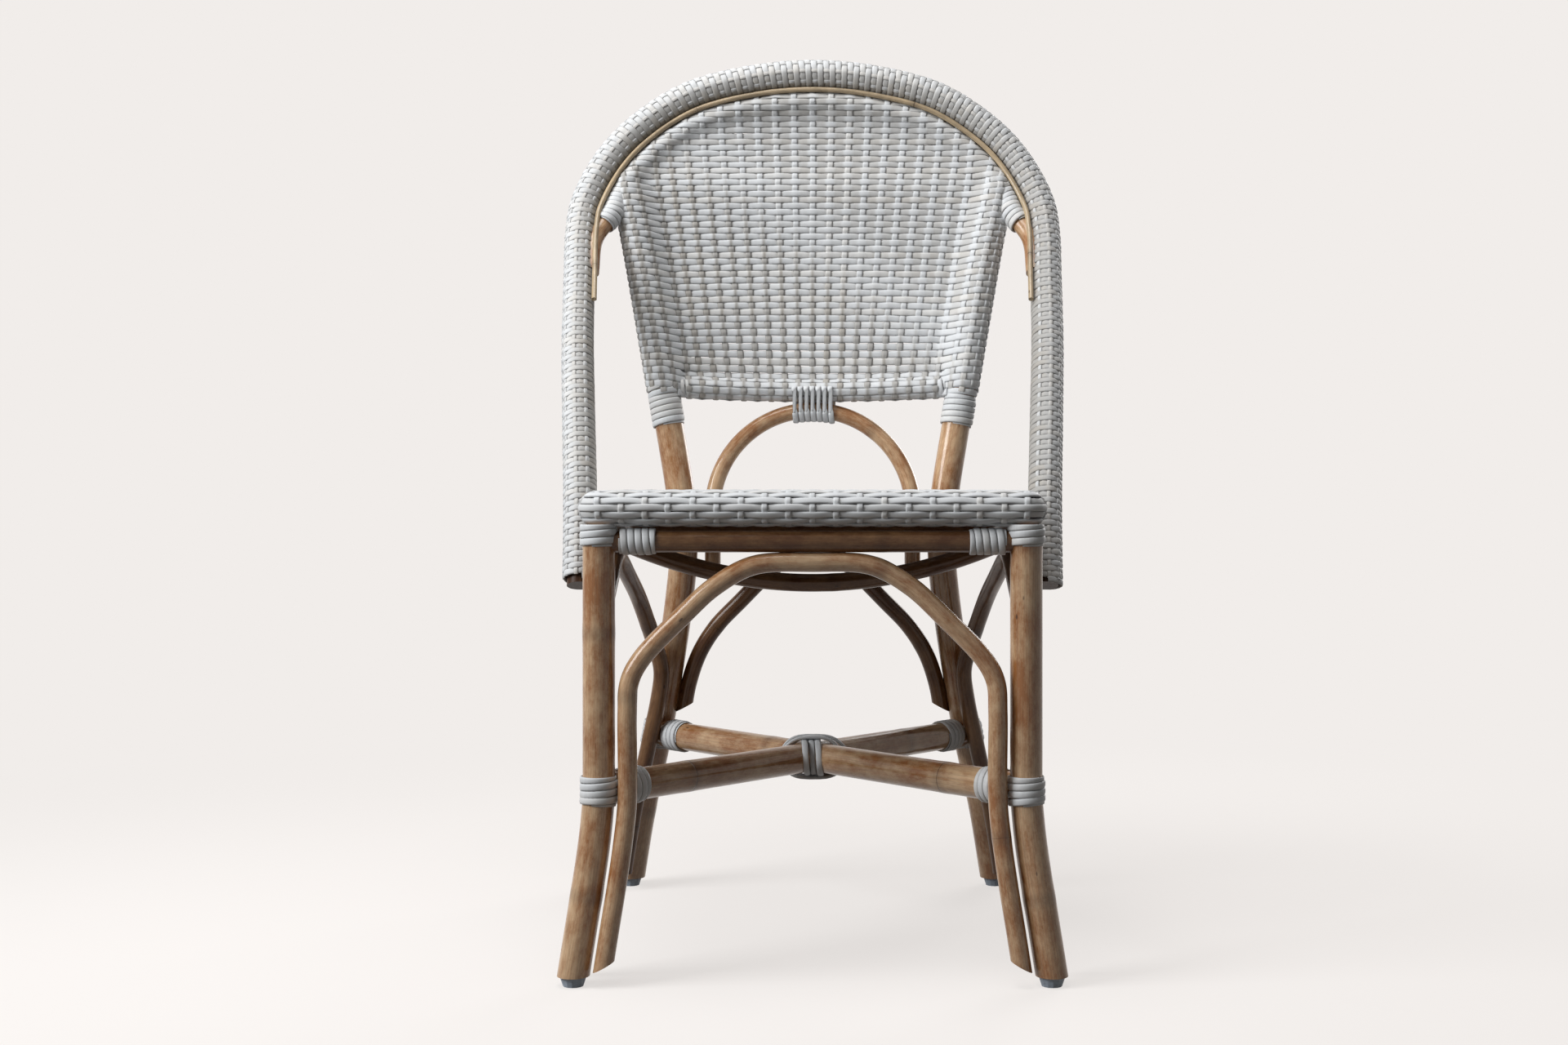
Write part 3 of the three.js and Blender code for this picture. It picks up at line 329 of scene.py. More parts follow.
@named
class ChairStudio(PropertyGroup):
    """Camera and lamps"""
    camera_distance: length(1.76, "Camera before the front legs")
    camera_height: length(0.461, "Camera over the floor")
    lens: amount(43.73, "Focal length on a 36 mm wide frame", min=1)
    shift_across: amount(-0.01823, "Camera's sideways shift")
    shift_up: amount(-0.025, "Camera's upward shift")
    key_power: power(56, "Power of the lamp at the left")
    top_power: power(26, "Power of the lamp overhead")
    fill_power: power(0.5, "Power of the weak lamp in front")
    rear_power: power(34, "Power of the lamp behind")
    world_strength: amount(0.06, "Strength of the sky light", min=0)
    floor_size: length(12, "Length of the floor's sides")
    floor_shadow: amount(0.3, "How strongly the floor takes shadow", min=0, max=1, subtype="FACTOR")
    floor_dimness: amount(0.22, "Makes up for light that the floor lacks", min=0)
    shadow_reach: length(1.6, "How far from the chair the floor takes shadow")
    seed: amount(7, "Seed of all irregularities", IntProperty, min=0)


# Lines in space
def unit(vectors):
    return vectors / np.linalg.norm(vectors, axis=-1, keepdims=True)


def dot(first, second):
    return np.sum(first * second, axis=-1)


def crosswise(vectors, along):
    return unit(vectors - along * dot(vectors, along)[..., None])


def around(first, second, turn):
    """The direction turned from one to another, a quarter turn on"""
    return first * np.cos(turn)[..., None] + second * np.sin(turn)[..., None]


def lead(start, end, leaving, arriving, share):
    """Places and travel on an easy curve between two spots, from its slopes at both"""
    square = -3 * start + 3 * end - 2 * leaving - arriving
    cube = 2 * start - 2 * end + leaving + arriving
    share = share[:, None]
    places = start + leaving * share + square * share ** 2 + cube * share ** 3
    return places, leaving + 2 * square * share + 3 * cube * share ** 2


def evenly(points, spacing=POINT_SPACING):
    points = np.asarray(points, float)
    run = np.concatenate([[0], np.cumsum(np.linalg.norm(np.diff(points, axis=0), axis=1))])
    marks = np.linspace(0, run[-1], max(FEWEST_POINTS, int(round(run[-1] / spacing)) + 1))
    return np.column_stack([np.interp(marks, run, points[:, axis]) for axis in range(3)])


def bent(knots):
    """A smooth line through knots, in evenly spaced points"""
    knots = np.asarray(knots, float)
    ghosts = np.vstack([2 * knots[0] - knots[1], knots, 2 * knots[-1] - knots[-2]])
    share = np.linspace(0, 1, KNOT_STEPS, endpoint=False)
    line = []
    for before, start, end, after in zip(ghosts, ghosts[1:], ghosts[2:], ghosts[3:]):
        pairs = ((before, start), (start, end), (end, after))
        first, middle, last = (math.sqrt(np.linalg.norm(b - a)) for a, b in pairs)
        leave = (start - before) / first - (end - before) / (first + middle) + (end - start) / middle
        arrive = (end - start) / middle - (after - start) / (middle + last) + (after - end) / last
        line.append(lead(start, end, leave * middle, arrive * middle, share)[0])
    return evenly(np.vstack([*line, knots[-1:]]))


def mirrored(points):
    return (np.asarray(points, float) * (-1, 1, 1))[::-1]


def both_sides(points):
    """A half line that ends on the middle plane, and its mirror image after it"""
    return np.vstack([points, mirrored(points)[1:]])


def lerp(start, end, share):
    return start + (end - start) * share


class Line:
    """A centre line with its length and two crosswise directions at every point"""

    def __init__(self, points, facing=None):
        self.points = np.asarray(points, float)
        steps = np.diff(self.points, axis=0)
        self.run = np.concatenate([[0], np.cumsum(np.linalg.norm(steps, axis=1))])
        self.along = unit(np.gradient(self.points, self.run, axis=0))
        if facing is None:
            self.face = self.carried()
        else:
            wanted = np.broadcast_to(np.asarray(facing, float), self.along.shape)
            self.face = crosswise(wanted, self.along)
        self.side = unit(np.cross(self.face, self.along))

    def carried(self):
        start = np.array((0, -1, 0)) if abs(self.along[0][1]) < STEEP_SHARE else np.array((0, 0, 1))
        faces = [crosswise(start, self.along[0])]
        for along in self.along[1:]:
            faces.append(crosswise(faces[-1], along))
        return np.array(faces)

    @property
    def length(self):
        return self.run[-1]

    def pick(self, values, distances):
        return np.column_stack([np.interp(distances, self.run, values[:, axis]) for axis in range(3)])

    def frames(self, distances):
        distances = np.atleast_1d(distances)
        return (self.pick(self.points, distances), unit(self.pick(self.side, distances)),
                unit(self.pick(self.face, distances)))

    def distance_at_height(self, height):
        rise = self.points[:, 2] - height
        index = np.nonzero(rise[:-1] * rise[1:] <= 0)[0][0]
        share = rise[index] / (rise[index] - rise[index + 1])
        return lerp(self.run[index], self.run[index + 1], share)

    def at_height(self, height):
        return self.pick(self.points, [self.distance_at_height(height)])[0]

    def part(self, start, end):
        keep = self.run[(self.run > start) & (self.run < end)]
        return self.pick(self.points, [start, *keep, end])


class Plan:
    """Centre lines and places of the whole chair, worked out from its sizes"""

    def __init__(self, scene):
        self.poles = poles = scene.chair_poles
        self.weave = weave = scene.chair_weave
        self.gap = poles.join_gap
        self.ring_half = (weave.seat_width - weave.seat_edge) / 2
        self.ring_height = weave.seat_height - weave.seat_edge / 2
        self.seat_underside = weave.seat_height - weave.seat_edge
        self.strand_rise = self.gap + weave.binding_thickness
        self.panel_low = poles.back_rail - weave.rail_woven_diameter / 2 + PANEL_RAISE
        self.apron_height = (self.seat_underside - 2 * self.gap - weave.binding_thickness
                             - poles.apron_diameter / 2)
        self.apron_reach = weave.seat_ring_reach + (weave.seat_edge - poles.apron_diameter) / 2 - self.gap
        self.bow_top = self.apron_height - (poles.apron_diameter + poles.bow_diameter) / 2 - self.gap
        beside = poles.bow_diameter / 2 + self.strand_rise + poles.bow_clearance
        self.leg_to_bow = poles.leg_diameter / 2 + beside
        self.post_to_bow = poles.post_diameter / 2 + beside
        self.plan_hoop()
        self.plan_uprights()
        self.plan_back()

    def plan_hoop(self):
        poles, weave = self.poles, self.weave
        half = ((weave.seat_width + poles.hoop_woven_diameter) / 2 + self.gap) / HOOP_SEAT_SHARE
        top = poles.hoop_height - poles.hoop_woven_diameter / 2
        knots = [(across * half, poles.hoop_front + back * poles.hoop_rake, lerp(poles.hoop_end, top, rise))
                 for across, rise, back in HOOP_SHARES]
        knots.insert(0, self.overrun(knots, poles.hoop_overrun))
        self.hoop = hoop = Line(bent(both_sides(knots)), facing=(0, -1, 0))
        offset = (poles.hoop_woven_diameter + poles.arch_woven_diameter) / 2 + self.gap
        foot = self.beside_hoop([hoop.distance_at_height(poles.arch_foot)], poles.arch_stub_offset)
        narrow = self.beside_hoop([hoop.distance_at_height(poles.arch_narrow)], poles.arch_narrow_offset)
        start = hoop.distance_at_height(poles.arch_run_out)
        upper = self.beside_hoop(np.linspace(start, hoop.length - start, ARCH_STEPS), offset)
        knots = [foot, narrow, upper[::ARCH_STRIDE], upper[-1:], mirrored(narrow), mirrored(foot)]
        self.arch = Line(bent(np.vstack(knots)), facing=(0, -1, 0))
        to_hoop = (poles.hoop_woven_diameter + poles.trim_diameter) / 2 + self.gap
        to_arch = (poles.arch_woven_diameter + poles.trim_diameter) / 2 + self.gap
        inward = (to_hoop ** 2 - to_arch ** 2 + offset ** 2) / (2 * offset)
        start = hoop.distance_at_height(poles.trim_foot)
        marks = np.linspace(start, hoop.length - start, TRIM_STEPS)
        self.trim = Line(self.beside_hoop(marks, inward, math.sqrt(to_hoop ** 2 - inward ** 2)))

    def beside_hoop(self, distances, inward, front=0):
        spots, side, face = self.hoop.frames(distances)
        return spots + side * inward + face * front

    def plan_uprights(self):
        poles, weave = self.poles, self.weave
        flare = [(poles.leg_reach + run * poles.leg_flare, -run * poles.leg_forward,
                  lerp(poles.sole_top, poles.leg_knee, rise)) for rise, run in LEG_FLARE_SHARES]
        leg_top = (poles.leg_reach, 0, self.seat_underside + self.gap)
        self.leg = Line(evenly(np.vstack([bent([self.overrun(flare), *flare]), leg_top])))
        offset = weave.seat_rear_corner + (weave.seat_edge + poles.post_diameter) / 2 + self.gap
        self.corner = self.ring_half - weave.seat_rear_corner
        behind = weave.seat_ring_reach - weave.seat_rear_corner
        turn = poles.post_seat_angle
        seat_spot = np.array((self.corner + offset * math.sin(turn), behind + offset * math.cos(turn),
                              self.ring_height))
        self.post_top_spot = top_spot = self.arch.at_height(poles.post_top)
        lower = [(seat_spot[0] + run * poles.post_flare, seat_spot[1] + run * poles.post_rake,
                  lerp(poles.sole_top, self.ring_height, rise)) for rise, run in POST_LOWER_SHARES]
        upper = [(*lerp(seat_spot[:2], top_spot[:2], run), lerp(self.ring_height, top_spot[2], rise))
                 for rise, run in POST_UPPER_SHARES]
        self.post = Line(bent([self.overrun(lower), *lower, *upper, top_spot]))

    def overrun(self, knots, reach=RUN_ON):
        """A spot before the first knot, on the line's first slope"""
        first, second = (np.asarray(knot, float) for knot in knots[:2])
        return first + unit(first - second) * reach

    def sagging(self, end, sag, setback=0):
        """Half a line that sags and stands back from its end to the middle plane"""
        across = np.linspace(1, 0, BEND_STEPS)
        dip = 1 - across ** 2
        return np.column_stack([across * end[0], end[1] + setback * dip, end[2] - sag * dip])

    def plan_back(self):
        poles, weave = self.poles, self.weave
        end = self.post.at_height(poles.back_rail)
        half = self.sagging((end[0], end[1], poles.back_rail), poles.back_rail_sag, self.hollow(end[0]))
        self.rail = Line(evenly(both_sides(half)))
        self.rail_middle = half[-1]
        self.arch_top = (self.rail_middle[2] - (weave.rail_woven_diameter + poles.lower_arch_diameter) / 2
                         - self.gap)
        radius = poles.lower_arch_radius
        spring = self.arch_top - radius
        offset = weave.seat_rear_corner + (weave.seat_edge + poles.lower_arch_diameter) / 2 + self.gap
        behind = (weave.seat_ring_reach - weave.seat_rear_corner
                  + math.sqrt(offset ** 2 - (radius - self.corner) ** 2))
        spots = [(radius, poles.lower_arch_foot)]
        spots += [(radius * math.cos(turn), spring + radius * math.sin(turn))
                  for turn in np.linspace(0, math.pi / 2, BEND_STEPS)]
        seat = weave.seat_height
        depths = [lerp(behind, self.rail_middle[1], max(0, (height - seat) / (self.arch_top - seat)))
                  for _, height in spots]
        half = [(x, depth, height) for (x, height), depth in zip(spots, depths)]
        self.lower_arch = Line(evenly(both_sides(half)))

    def hollow(self, half):
        return self.weave.back_hollow * half / self.post_top_spot[0]

    def bow_front(self):
        poles = self.poles
        inward = self.leg_to_bow * math.cos(poles.front_bow_turn)
        forward = self.leg_to_bow * math.sin(poles.front_bow_turn)
        lower = self.below_knee(self.leg, -inward, -forward)
        upper = [(across * (poles.leg_reach - inward), -forward * (1 - rise),
                  lerp(poles.bow_shoulder, self.bow_top, rise)) for across, rise in SHOULDER_SHARES]
        return Line(bent(both_sides([*lower, *upper, (0, 0, self.bow_top)])))

    def bow_rear(self):
        poles = self.poles
        foot = self.post.at_height(poles.rear_bow_foot - poles.bow_diameter)
        inward = (poles.post_diameter + poles.bow_diameter) / 2 + self.gap
        knots = [(across * (foot[0] - inward), lerp(foot[1], self.apron_reach, rise),
                  lerp(foot[2], self.bow_top, rise)) for across, rise in REAR_BOW_SHARES]
        return Line(bent(both_sides([*knots, (0, self.apron_reach, self.bow_top)])))

    def below_knee(self, upright, outward, behind):
        """The lower part of a bow, from its foot to the knee of the upright beside it"""
        poles = self.poles
        heights = [lerp(poles.sole_top, poles.leg_knee, rise) for rise, _ in LEG_FLARE_SHARES]
        return [upright.at_height(height) + (outward, behind, 0) for height in heights]

    def side_bow_half(self, upright, outward, behind):
        poles = self.poles
        shoulder = upright.at_height(poles.bow_shoulder) + (outward, behind, 0)
        upper = [(lerp(shoulder[0], self.ring_half, rise), lerp(shoulder[1], poles.side_bow_reach, run),
                  lerp(shoulder[2], self.bow_top, rise)) for rise, run in SIDE_BOW_SHARES]
        return [*self.below_knee(upright, outward, behind), *upper]

    def bow_side(self, sign):
        poles = self.poles
        outward, along = math.sin(poles.side_bow_turn), math.cos(poles.side_bow_turn)
        rear = self.side_bow_half(self.post, self.post_to_bow * outward, -self.post_to_bow * along)
        front = self.side_bow_half(self.leg, self.leg_to_bow * outward, self.leg_to_bow * along)
        crown = (self.ring_half, poles.side_bow_reach, self.bow_top)
        return Line(bent(np.vstack([front, crown, rear[::-1]]) * (sign, 1, 1)))

    def ring(self, height, reach):
        corner = self.weave.seat_rear_corner
        bend = [(self.corner + corner * math.cos(turn), reach - corner + corner * math.sin(turn), height)
                for turn in np.linspace(0, math.pi / 2, RING_STEPS)]
        half = [(self.ring_half, 0, height), *bend, (0, reach, height)]
        return Line(evenly(both_sides(half)))

    def apron_ring(self):
        return self.ring(self.apron_height, self.apron_reach)

    def seat_ring(self):
        whole = self.ring(self.ring_height, self.weave.seat_ring_reach)
        start = self.weave.seat_front_corner
        return Line(whole.part(start, whole.length - start))

    def support(self):
        poles = self.poles
        half = self.sagging((self.ring_half, poles.support_place, self.apron_height), poles.support_sag)
        return Line(evenly(both_sides(half)))

    def stretcher(self, sign):
        start, end = self.stretcher_ends()
        return Line(evenly([start * (sign, 1, 1), end * (-sign, 1, 1)]))

    def stretcher_ends(self):
        """Where the stretchers' height meets the leg and the post on the right"""
        height = self.poles.stretcher_height
        return [upright.at_height(height) * (1, 1, 0) + (0, 0, height) for upright in (self.leg, self.post)]

    def crosswise_line(self, half, height):
        """A straight line from side to side in the plane of the front legs"""
        return Line(evenly([(half, 0, height), (-half, 0, height)]))

    def crossing(self):
        start, end = self.stretcher_ends()
        across = end * (-1, 1, 1)
        return lerp(start, across, start[0] / (start[0] + end[0])), unit(across - start)

    def sided(self, line, sign):
        return Line(line.points * (sign, 1, 1))


# Meshes and pieces
def front_line():
    """Where the plane of the front legs lies in the frame"""
    low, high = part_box("apron_front")
    return (low[1] + high[1]) / 2


def place_piece(piece, node):
    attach(piece, "root")
    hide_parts(node)


def add_object(name, mesh, material=None):
    piece = bpy.data.objects.new(name, mesh)
    bpy.context.scene.collection.objects.link(piece)
    if material:
        mesh.materials.append(material)
    return piece


def node_swell(line, nodes, diameter):
    swell = np.ones(len(line.run))
    for node in nodes:
        swell += NODE_SWELL_SHARE * np.exp(-((line.run - node) / (NODE_LENGTH_SHARE * diameter)) ** 2)
    return swell


def pole_mesh(name, line, diameter, seed, cuts=()):
    """A round pole, a little swollen at its nodes; each cut keeps the side that its direction points to"""
    chance = np.random.default_rng(seed)
    nodes = np.arange(chance.uniform(*FIRST_NODE), line.length, chance.uniform(*NODE_SPACING))
    radius = diameter / 2 * node_swell(line, nodes, diameter)
    shift = chance.uniform(0, GRAIN_SHIFT)
    near = np.min(np.abs(nodes[None] - line.run[:, None]), axis=1, initial=NO_NODE_NEAR)
    turns = np.linspace(0, 2 * math.pi, POLE_SIDES, endpoint=False)
    out = around(line.side[:, None], line.face[:, None], turns)
    spots = line.points[:, None] + out * radius[:, None, None]
    build = bmesh.new()
    cane = build.verts.layers.float_vector.new("cane")
    knot = build.verts.layers.float.new("knot")
    rings = []
    for ring_spots, size, run, distance in zip(spots, radius, line.run, near):
        rings.append([build.verts.new(spot) for spot in ring_spots])
        for vert, turn in zip(rings[-1], turns):
            vert[cane] = (size * math.cos(turn), size * math.sin(turn), run + shift)
            vert[knot] = distance
    for ring, after in zip(rings, rings[1:]):
        for corner in range(POLE_SIDES):
            beside = (corner + 1) % POLE_SIDES
            build.faces.new((ring[corner], ring[beside], after[beside], after[corner]))
    build.faces.new(rings[0][::-1])
    build.faces.new(rings[-1])
    for point, direction, keeps in cuts:
        faces = [face for face in build.faces if keeps(face.calc_center_median())]
        verts = dict.fromkeys(vert for face in faces for vert in face.verts)
        edges = dict.fromkeys(edge for face in faces for edge in face.edges)
        cut = bmesh.ops.bisect_plane(build, geom=[*verts, *edges, *faces], plane_co=point, plane_no=direction,
                                     clear_inner=True)
        rim = [part for part in cut["geom_cut"] if isinstance(part, bmesh.types.BMEdge)]
        bmesh.ops.edgeloop_fill(build, edges=rim)
    bmesh.ops.recalc_face_normals(build, faces=build.faces)
    bmesh.ops.translate(build, verts=build.verts, vec=(0, front_line(), 0))
    mesh = bpy.data.meshes.new(name)
    build.to_mesh(mesh)
    build.free()
    mesh.shade_smooth()
    mesh.set_sharp_from_angle(angle=SHARP_ANGLE)
    return mesh


def add_pole(name, line, diameter, material=None, cuts=()):
    seed = bpy.context.scene.chair_studio.seed + len(bpy.data.objects)
    mesh = pole_mesh(f"smooth_{name}", line, diameter, seed, cuts)
    piece = add_object(f"smooth_{name}", mesh, material or cane_material())
    place_piece(piece, name)


def flat_cut(height):
    return ((0, 0, height), (0, 0, 1), lambda spot: True)


def slanted_cut(line, height, sign, slope):
    """A cut through one foot of a bow, higher towards the middle of the chair"""
    spot = line.at_height(height)
    direction = (sign * math.sin(slope), 0, math.cos(slope))
    return ((sign * abs(spot[0]), spot[1], height), direction, lambda place: place[0] * sign > 0)


# Strands
def fill(tree, socket, value):
    """Links a socket to another or to a node's first output, or sets it; a colour gets its alpha here"""
    if isinstance(value, bpy.types.Node):
        value = value.outputs[0]
    if isinstance(value, bpy.types.NodeSocket):
        tree.links.new(value, socket)
    else:
        socket.default_value = (*value, 1) if socket.type == "RGBA" else value


def fill_all(tree, node, values):
    for label, value in values.items():
        fill(tree, node.inputs[label], value)


def new_node(tree, kind, *inputs, **values):
    """A node with its settings and inputs by name, and then more inputs in their order"""
    node = tree.nodes.new(kind)
    for name, value in values.items():
        if name in node.inputs:
            fill(tree, node.inputs[name], value)
        else:
            setattr(node, name, value)
    for socket, value in zip(node.inputs, inputs):
        fill(tree, socket, value)
    return node


def new_group(name, kind, inputs, outputs):
    """A node group with its sockets, the outputs of its input node and the inputs of its output node"""
    tree = bpy.data.node_groups.new(name, kind)
    for way, sockets in (("INPUT", inputs), ("OUTPUT", outputs)):
        for label, socket_kind in sockets.items():
            tree.interface.new_socket(label, in_out=way, socket_type=f"NodeSocket{socket_kind}")
    return tree, new_node(tree, "NodeGroupInput").outputs, new_node(tree, "NodeGroupOutput").inputs


def strand_tree():
    """Sweeps a rounded flat section along guide edges, its flat side on the stored outward direction"""
    tree = bpy.data.node_groups.get("Laid strands")
    if tree:
        return tree
    inputs = {"Guides": "Geometry", "Width": "Float", "Thickness": "Float", "Corners": "Int",
              "Material": "Material"}
    tree, given, result = new_group("Laid strands", "GeometryNodeTree", inputs, {"Strands": "Geometry"})
    for label in ("Width", "Thickness"):
        tree.interface.items_tree[label].subtype = "DISTANCE"
    outward = new_node(tree, "GeometryNodeInputNamedAttribute", data_type="FLOAT_VECTOR", Name="out")
    size = new_node(tree, "GeometryNodeInputNamedAttribute", data_type="FLOAT", Name="size")
    line = new_node(tree, "GeometryNodeMeshToCurve", Mesh=given["Guides"])
    line = new_node(tree, "GeometryNodeSetCurveNormal", mode="FREE", Curve=line, Normal=outward)
    section = new_node(tree, "GeometryNodeCurvePrimitiveQuadrilateral", Width=1, Height=1)
    section = new_node(tree, "GeometryNodeFilletCurve", mode="POLY", Radius=ROUNDING_SHARE, Curve=section,
                       Count=given["Corners"])
    parts = new_node(tree, "ShaderNodeSeparateXYZ", new_node(tree, "GeometryNodeInputPosition"))
    # The flank is stored for the painted shade along the strands' sides
    section = stored(tree, "flank", section, reckoned(tree, "ABSOLUTE", parts.outputs["Y"]))
    scale = new_node(tree, "ShaderNodeCombineXYZ", given["Thickness"], given["Width"], 1)
    section = new_node(tree, "GeometryNodeTransform", Geometry=section, Scale=scale)
    section = stored(tree, "around", section, new_node(tree, "GeometryNodeSplineParameter"))
    swept = new_node(tree, "GeometryNodeCurveToMesh")
    fill_all(tree, swept, {"Curve": line, "Profile Curve": section, "Scale": size, "Fill Caps": True})
    smooth = new_node(tree, "GeometryNodeSetShadeSmooth", Geometry=swept)
    real = new_node(tree, "GeometryNodeRealizeInstances", Geometry=smooth)
    finish = new_node(tree, "GeometryNodeSetMaterial", Geometry=real, Material=given["Material"])
    fill(tree, result["Strands"], finish)
    return tree


def stored(tree, name, geometry, value):
    return new_node(tree, "GeometryNodeStoreNamedAttribute", data_type="FLOAT", domain="POINT", Name=name,
                    Geometry=geometry, Value=value)


def guide_mesh(name, strands):
    """Edges along every strand, with the outward direction, run, tone, size and dip at each point; the dip
    sets the strand's painted shade
    """
    layers = {label: [] for label in ("out", "run", "tone", "size", "dip")}
    edges = []
    start = 0
    for strand in strands:
        count = len(strand["spots"])
        steps = np.linalg.norm(np.diff(strand["spots"], axis=0), axis=1)
        values = {"size": 1, "dip": 0, **strand, "run": np.concatenate([[0], np.cumsum(steps)])}
        for label, layer in layers.items():
            layer.append(values[label] if label == "out" else np.broadcast_to(values[label], count))
        edges.extend((start + index, start + index + 1) for index in range(count - 1))
        start += count
    spots = np.vstack([strand["spots"] for strand in strands])
    mesh = bpy.data.meshes.new(name)
    mesh.from_pydata((spots + (0, front_line(), 0)).tolist(), edges, [])
    for label, values in layers.items():
        kind, field = ("FLOAT_VECTOR", "vector") if label == "out" else ("FLOAT", "value")
        layer = mesh.attributes.new(label, kind, "POINT")
        layer.data.foreach_set(field, np.concatenate(values).astype(float).ravel())
    return mesh


def add_strands(name, node, strands, width, thickness):
    guides = add_object(name, guide_mesh(f"{name}_guides", strands))
    tree = strand_tree()
    modifier = guides.modifiers.new("Laid strands", "NODES")
    modifier.node_group = tree
    given = {"Width": width, "Thickness": thickness, "Corners": CORNER_STEPS, "Material": strand_material()}
    for socket in tree.interface.items_tree:
        if socket.name in given:
            modifier[socket.identifier] = given[socket.name]
    graph = bpy.context.evaluated_depsgraph_get()
    mesh = bpy.data.meshes.new_from_object(guides.evaluated_get(graph), preserve_all_data_layers=True,
                                           depsgraph=graph)
    mesh.name = name
    guides.modifiers.clear()
    bare = guides.data
    guides.data = mesh
    bpy.data.meshes.remove(bare)
    place_piece(guides, node)


def winding(line, radius, start, turns, pitch, thickness, chance):
    """One strand wound round a line, narrower beyond its last turns so that the winding ends level"""
    turn = np.linspace(-LEVEL_SHARE, turns + LEVEL_SHARE, int((turns + 2 * LEVEL_SHARE) * WINDING_STEPS) + 1)
    beyond = np.maximum(np.maximum(-turn, turn - turns), 0)
    level = np.clip(turn, 0, turns) + np.sign(turn) * beyond / 2
    spots, side, face = line.frames(start + level * pitch)
    out = around(side, face, 2 * math.pi * turn)
    tone = np.interp(turn, np.arange(turns + 2), chance.uniform(0, 1, int(turns) + 2))
    size = 1 - beyond
    return {"spots": spots + out * (radius - thickness / 2 * (1 - size))[:, None], "out": out, "tone": tone,
            "size": size}


# Finishes
def material_tree(name):
    material = bpy.data.materials.new(name)
    material.use_nodes = True
    tree = material.node_tree
    return material, tree, tree.nodes["Principled BSDF"]


def mixed(tree, share, first, second, **settings):
    """A colour between two, or with another blend in the settings"""
    node = new_node(tree, "ShaderNodeMix", share, data_type="RGBA", **settings)
    fill(tree, node.inputs[6], first)
    fill(tree, node.inputs[7], second)
    return node.outputs[2]


def reckoned(tree, operation, *values, clamp=False):
    return new_node(tree, "ShaderNodeMath", *values, operation=operation, use_clamp=clamp)


def plus(tree, first, second, clamp=False):
    return reckoned(tree, "ADD", first, second, clamp=clamp)


def times(tree, first, second):
    return reckoned(tree, "MULTIPLY", first, second)


def rest(tree, value):
    """What a mask leaves of the whole"""
    return reckoned(tree, "SUBTRACT", 1, value)


def ramped(tree, value, start, end):
    """Rises from nothing at one value to full at another"""
    return new_node(tree, "ShaderNodeMapRange", value, start, end, clamp=True,
                    interpolation_type="SMOOTHSTEP")


def stretched(tree, place, stretch):
    return new_node(tree, "ShaderNodeMapping", Vector=place, Scale=stretch)


def noise(tree, place, stretch, scale, detail, roughness):
    return new_node(tree, "ShaderNodeTexNoise", Vector=stretched(tree, place, stretch), Scale=scale,
                    Detail=detail, Roughness=roughness)


def grain_group():
    """Lengthwise grain, blotches, nodes and specks of a cane pole"""
    tree = bpy.data.node_groups.get("Cane grain")
    if tree:
        return tree
    tree, given, result = new_group(
        "Cane grain", "ShaderNodeTree",
        {"Place": "Vector", "Knot": "Float", "Pale": "Color", "Warm": "Color", "Dark": "Color"},
        {"Colour": "Color", "Roughness": "Float", "Height": "Float"})
    place, knot = given["Place"], given["Knot"]
    shares = GRAIN_SHARES
    fibres, streaks, blotches = (noise(tree, place, *values) for values in (FIBRES, STREAKS, BLOTCHES))
    warmth = plus(tree, times(tree, ramped(tree, streaks, *STREAK_RAMP), shares["streaks"]),
                  times(tree, ramped(tree, blotches, *BLOTCH_RAMP), shares["blotches"]), clamp=True)
    cane = mixed(tree, warmth, given["Pale"], given["Warm"])
    cane = mixed(tree, shares["fibres"], cane, ramped(tree, fibres, *FIBRE_RAMP), blend_type="MULTIPLY")
    ring, halo = (rest(tree, ramped(tree, knot, *ramp)) for ramp in (RING_RAMP, HALO_RAMP))
    squeezed = stretched(tree, place, SPECK_STRETCH)
    cells = new_node(tree, "ShaderNodeTexVoronoi", Vector=squeezed, Scale=SPECK_SCALE)
    specks = rest(tree, ramped(tree, cells, *SPECK_RAMP))
    patches = ramped(tree, noise(tree, place, *SPECK_PATCHES), *PATCH_RAMP)
    dark = reckoned(tree, "MAXIMUM", times(tree, ring, shares["ring"]), times(tree, halo, shares["halo"]))
    dark = reckoned(tree, "MAXIMUM", dark, times(tree, times(tree, specks, patches), shares["specks"]))
    least, added = CANE_ROUGHNESS
    fill(tree, result["Colour"], mixed(tree, dark, cane, given["Dark"]))
    fill(tree, result["Roughness"], plus(tree, least, times(tree, streaks, added)))
    raised, sunk = (times(tree, mask, share) for mask, share in zip((fibres, ring), GRAIN_HEIGHT_SHARES))
    fill(tree, result["Height"], reckoned(tree, "SUBTRACT", raised, sunk))
    return tree


def attribute(tree, name, output="Fac"):
    node = new_node(tree, "ShaderNodeAttribute", attribute_type="GEOMETRY", attribute_name=name)
    return node.outputs[output]


def bumped(tree, shader, height, distance, strength):
    bump = new_node(tree, "ShaderNodeBump", Height=height, Distance=distance, Strength=strength)
    fill(tree, shader.inputs["Normal"], bump)


def cane_finish(name, pale, warm, coat):
    """Cane whose grain follows the pole, under a coat of lacquer, made once for each name"""
    if name in bpy.data.materials:
        return bpy.data.materials[name]
    material, tree, shader = material_tree(name)
    grain = new_node(tree, "ShaderNodeGroup", node_tree=grain_group())
    dark = bpy.context.scene.chair_colours.cane_dark
    fill_all(tree, grain, {"Place": attribute(tree, "cane", "Vector"), "Knot": attribute(tree, "knot"),
                           "Pale": pale, "Warm": warm, "Dark": dark})
    fill_all(tree, shader, {"Base Color": grain.outputs["Colour"], "Roughness": grain.outputs["Roughness"],
                            "Coat Weight": coat, "Coat Roughness": COAT_ROUGHNESS,
                            "Specular IOR Level": CANE_SHEEN})
    bumped(tree, shader, grain.outputs["Height"], *CANE_BUMP)
    return material


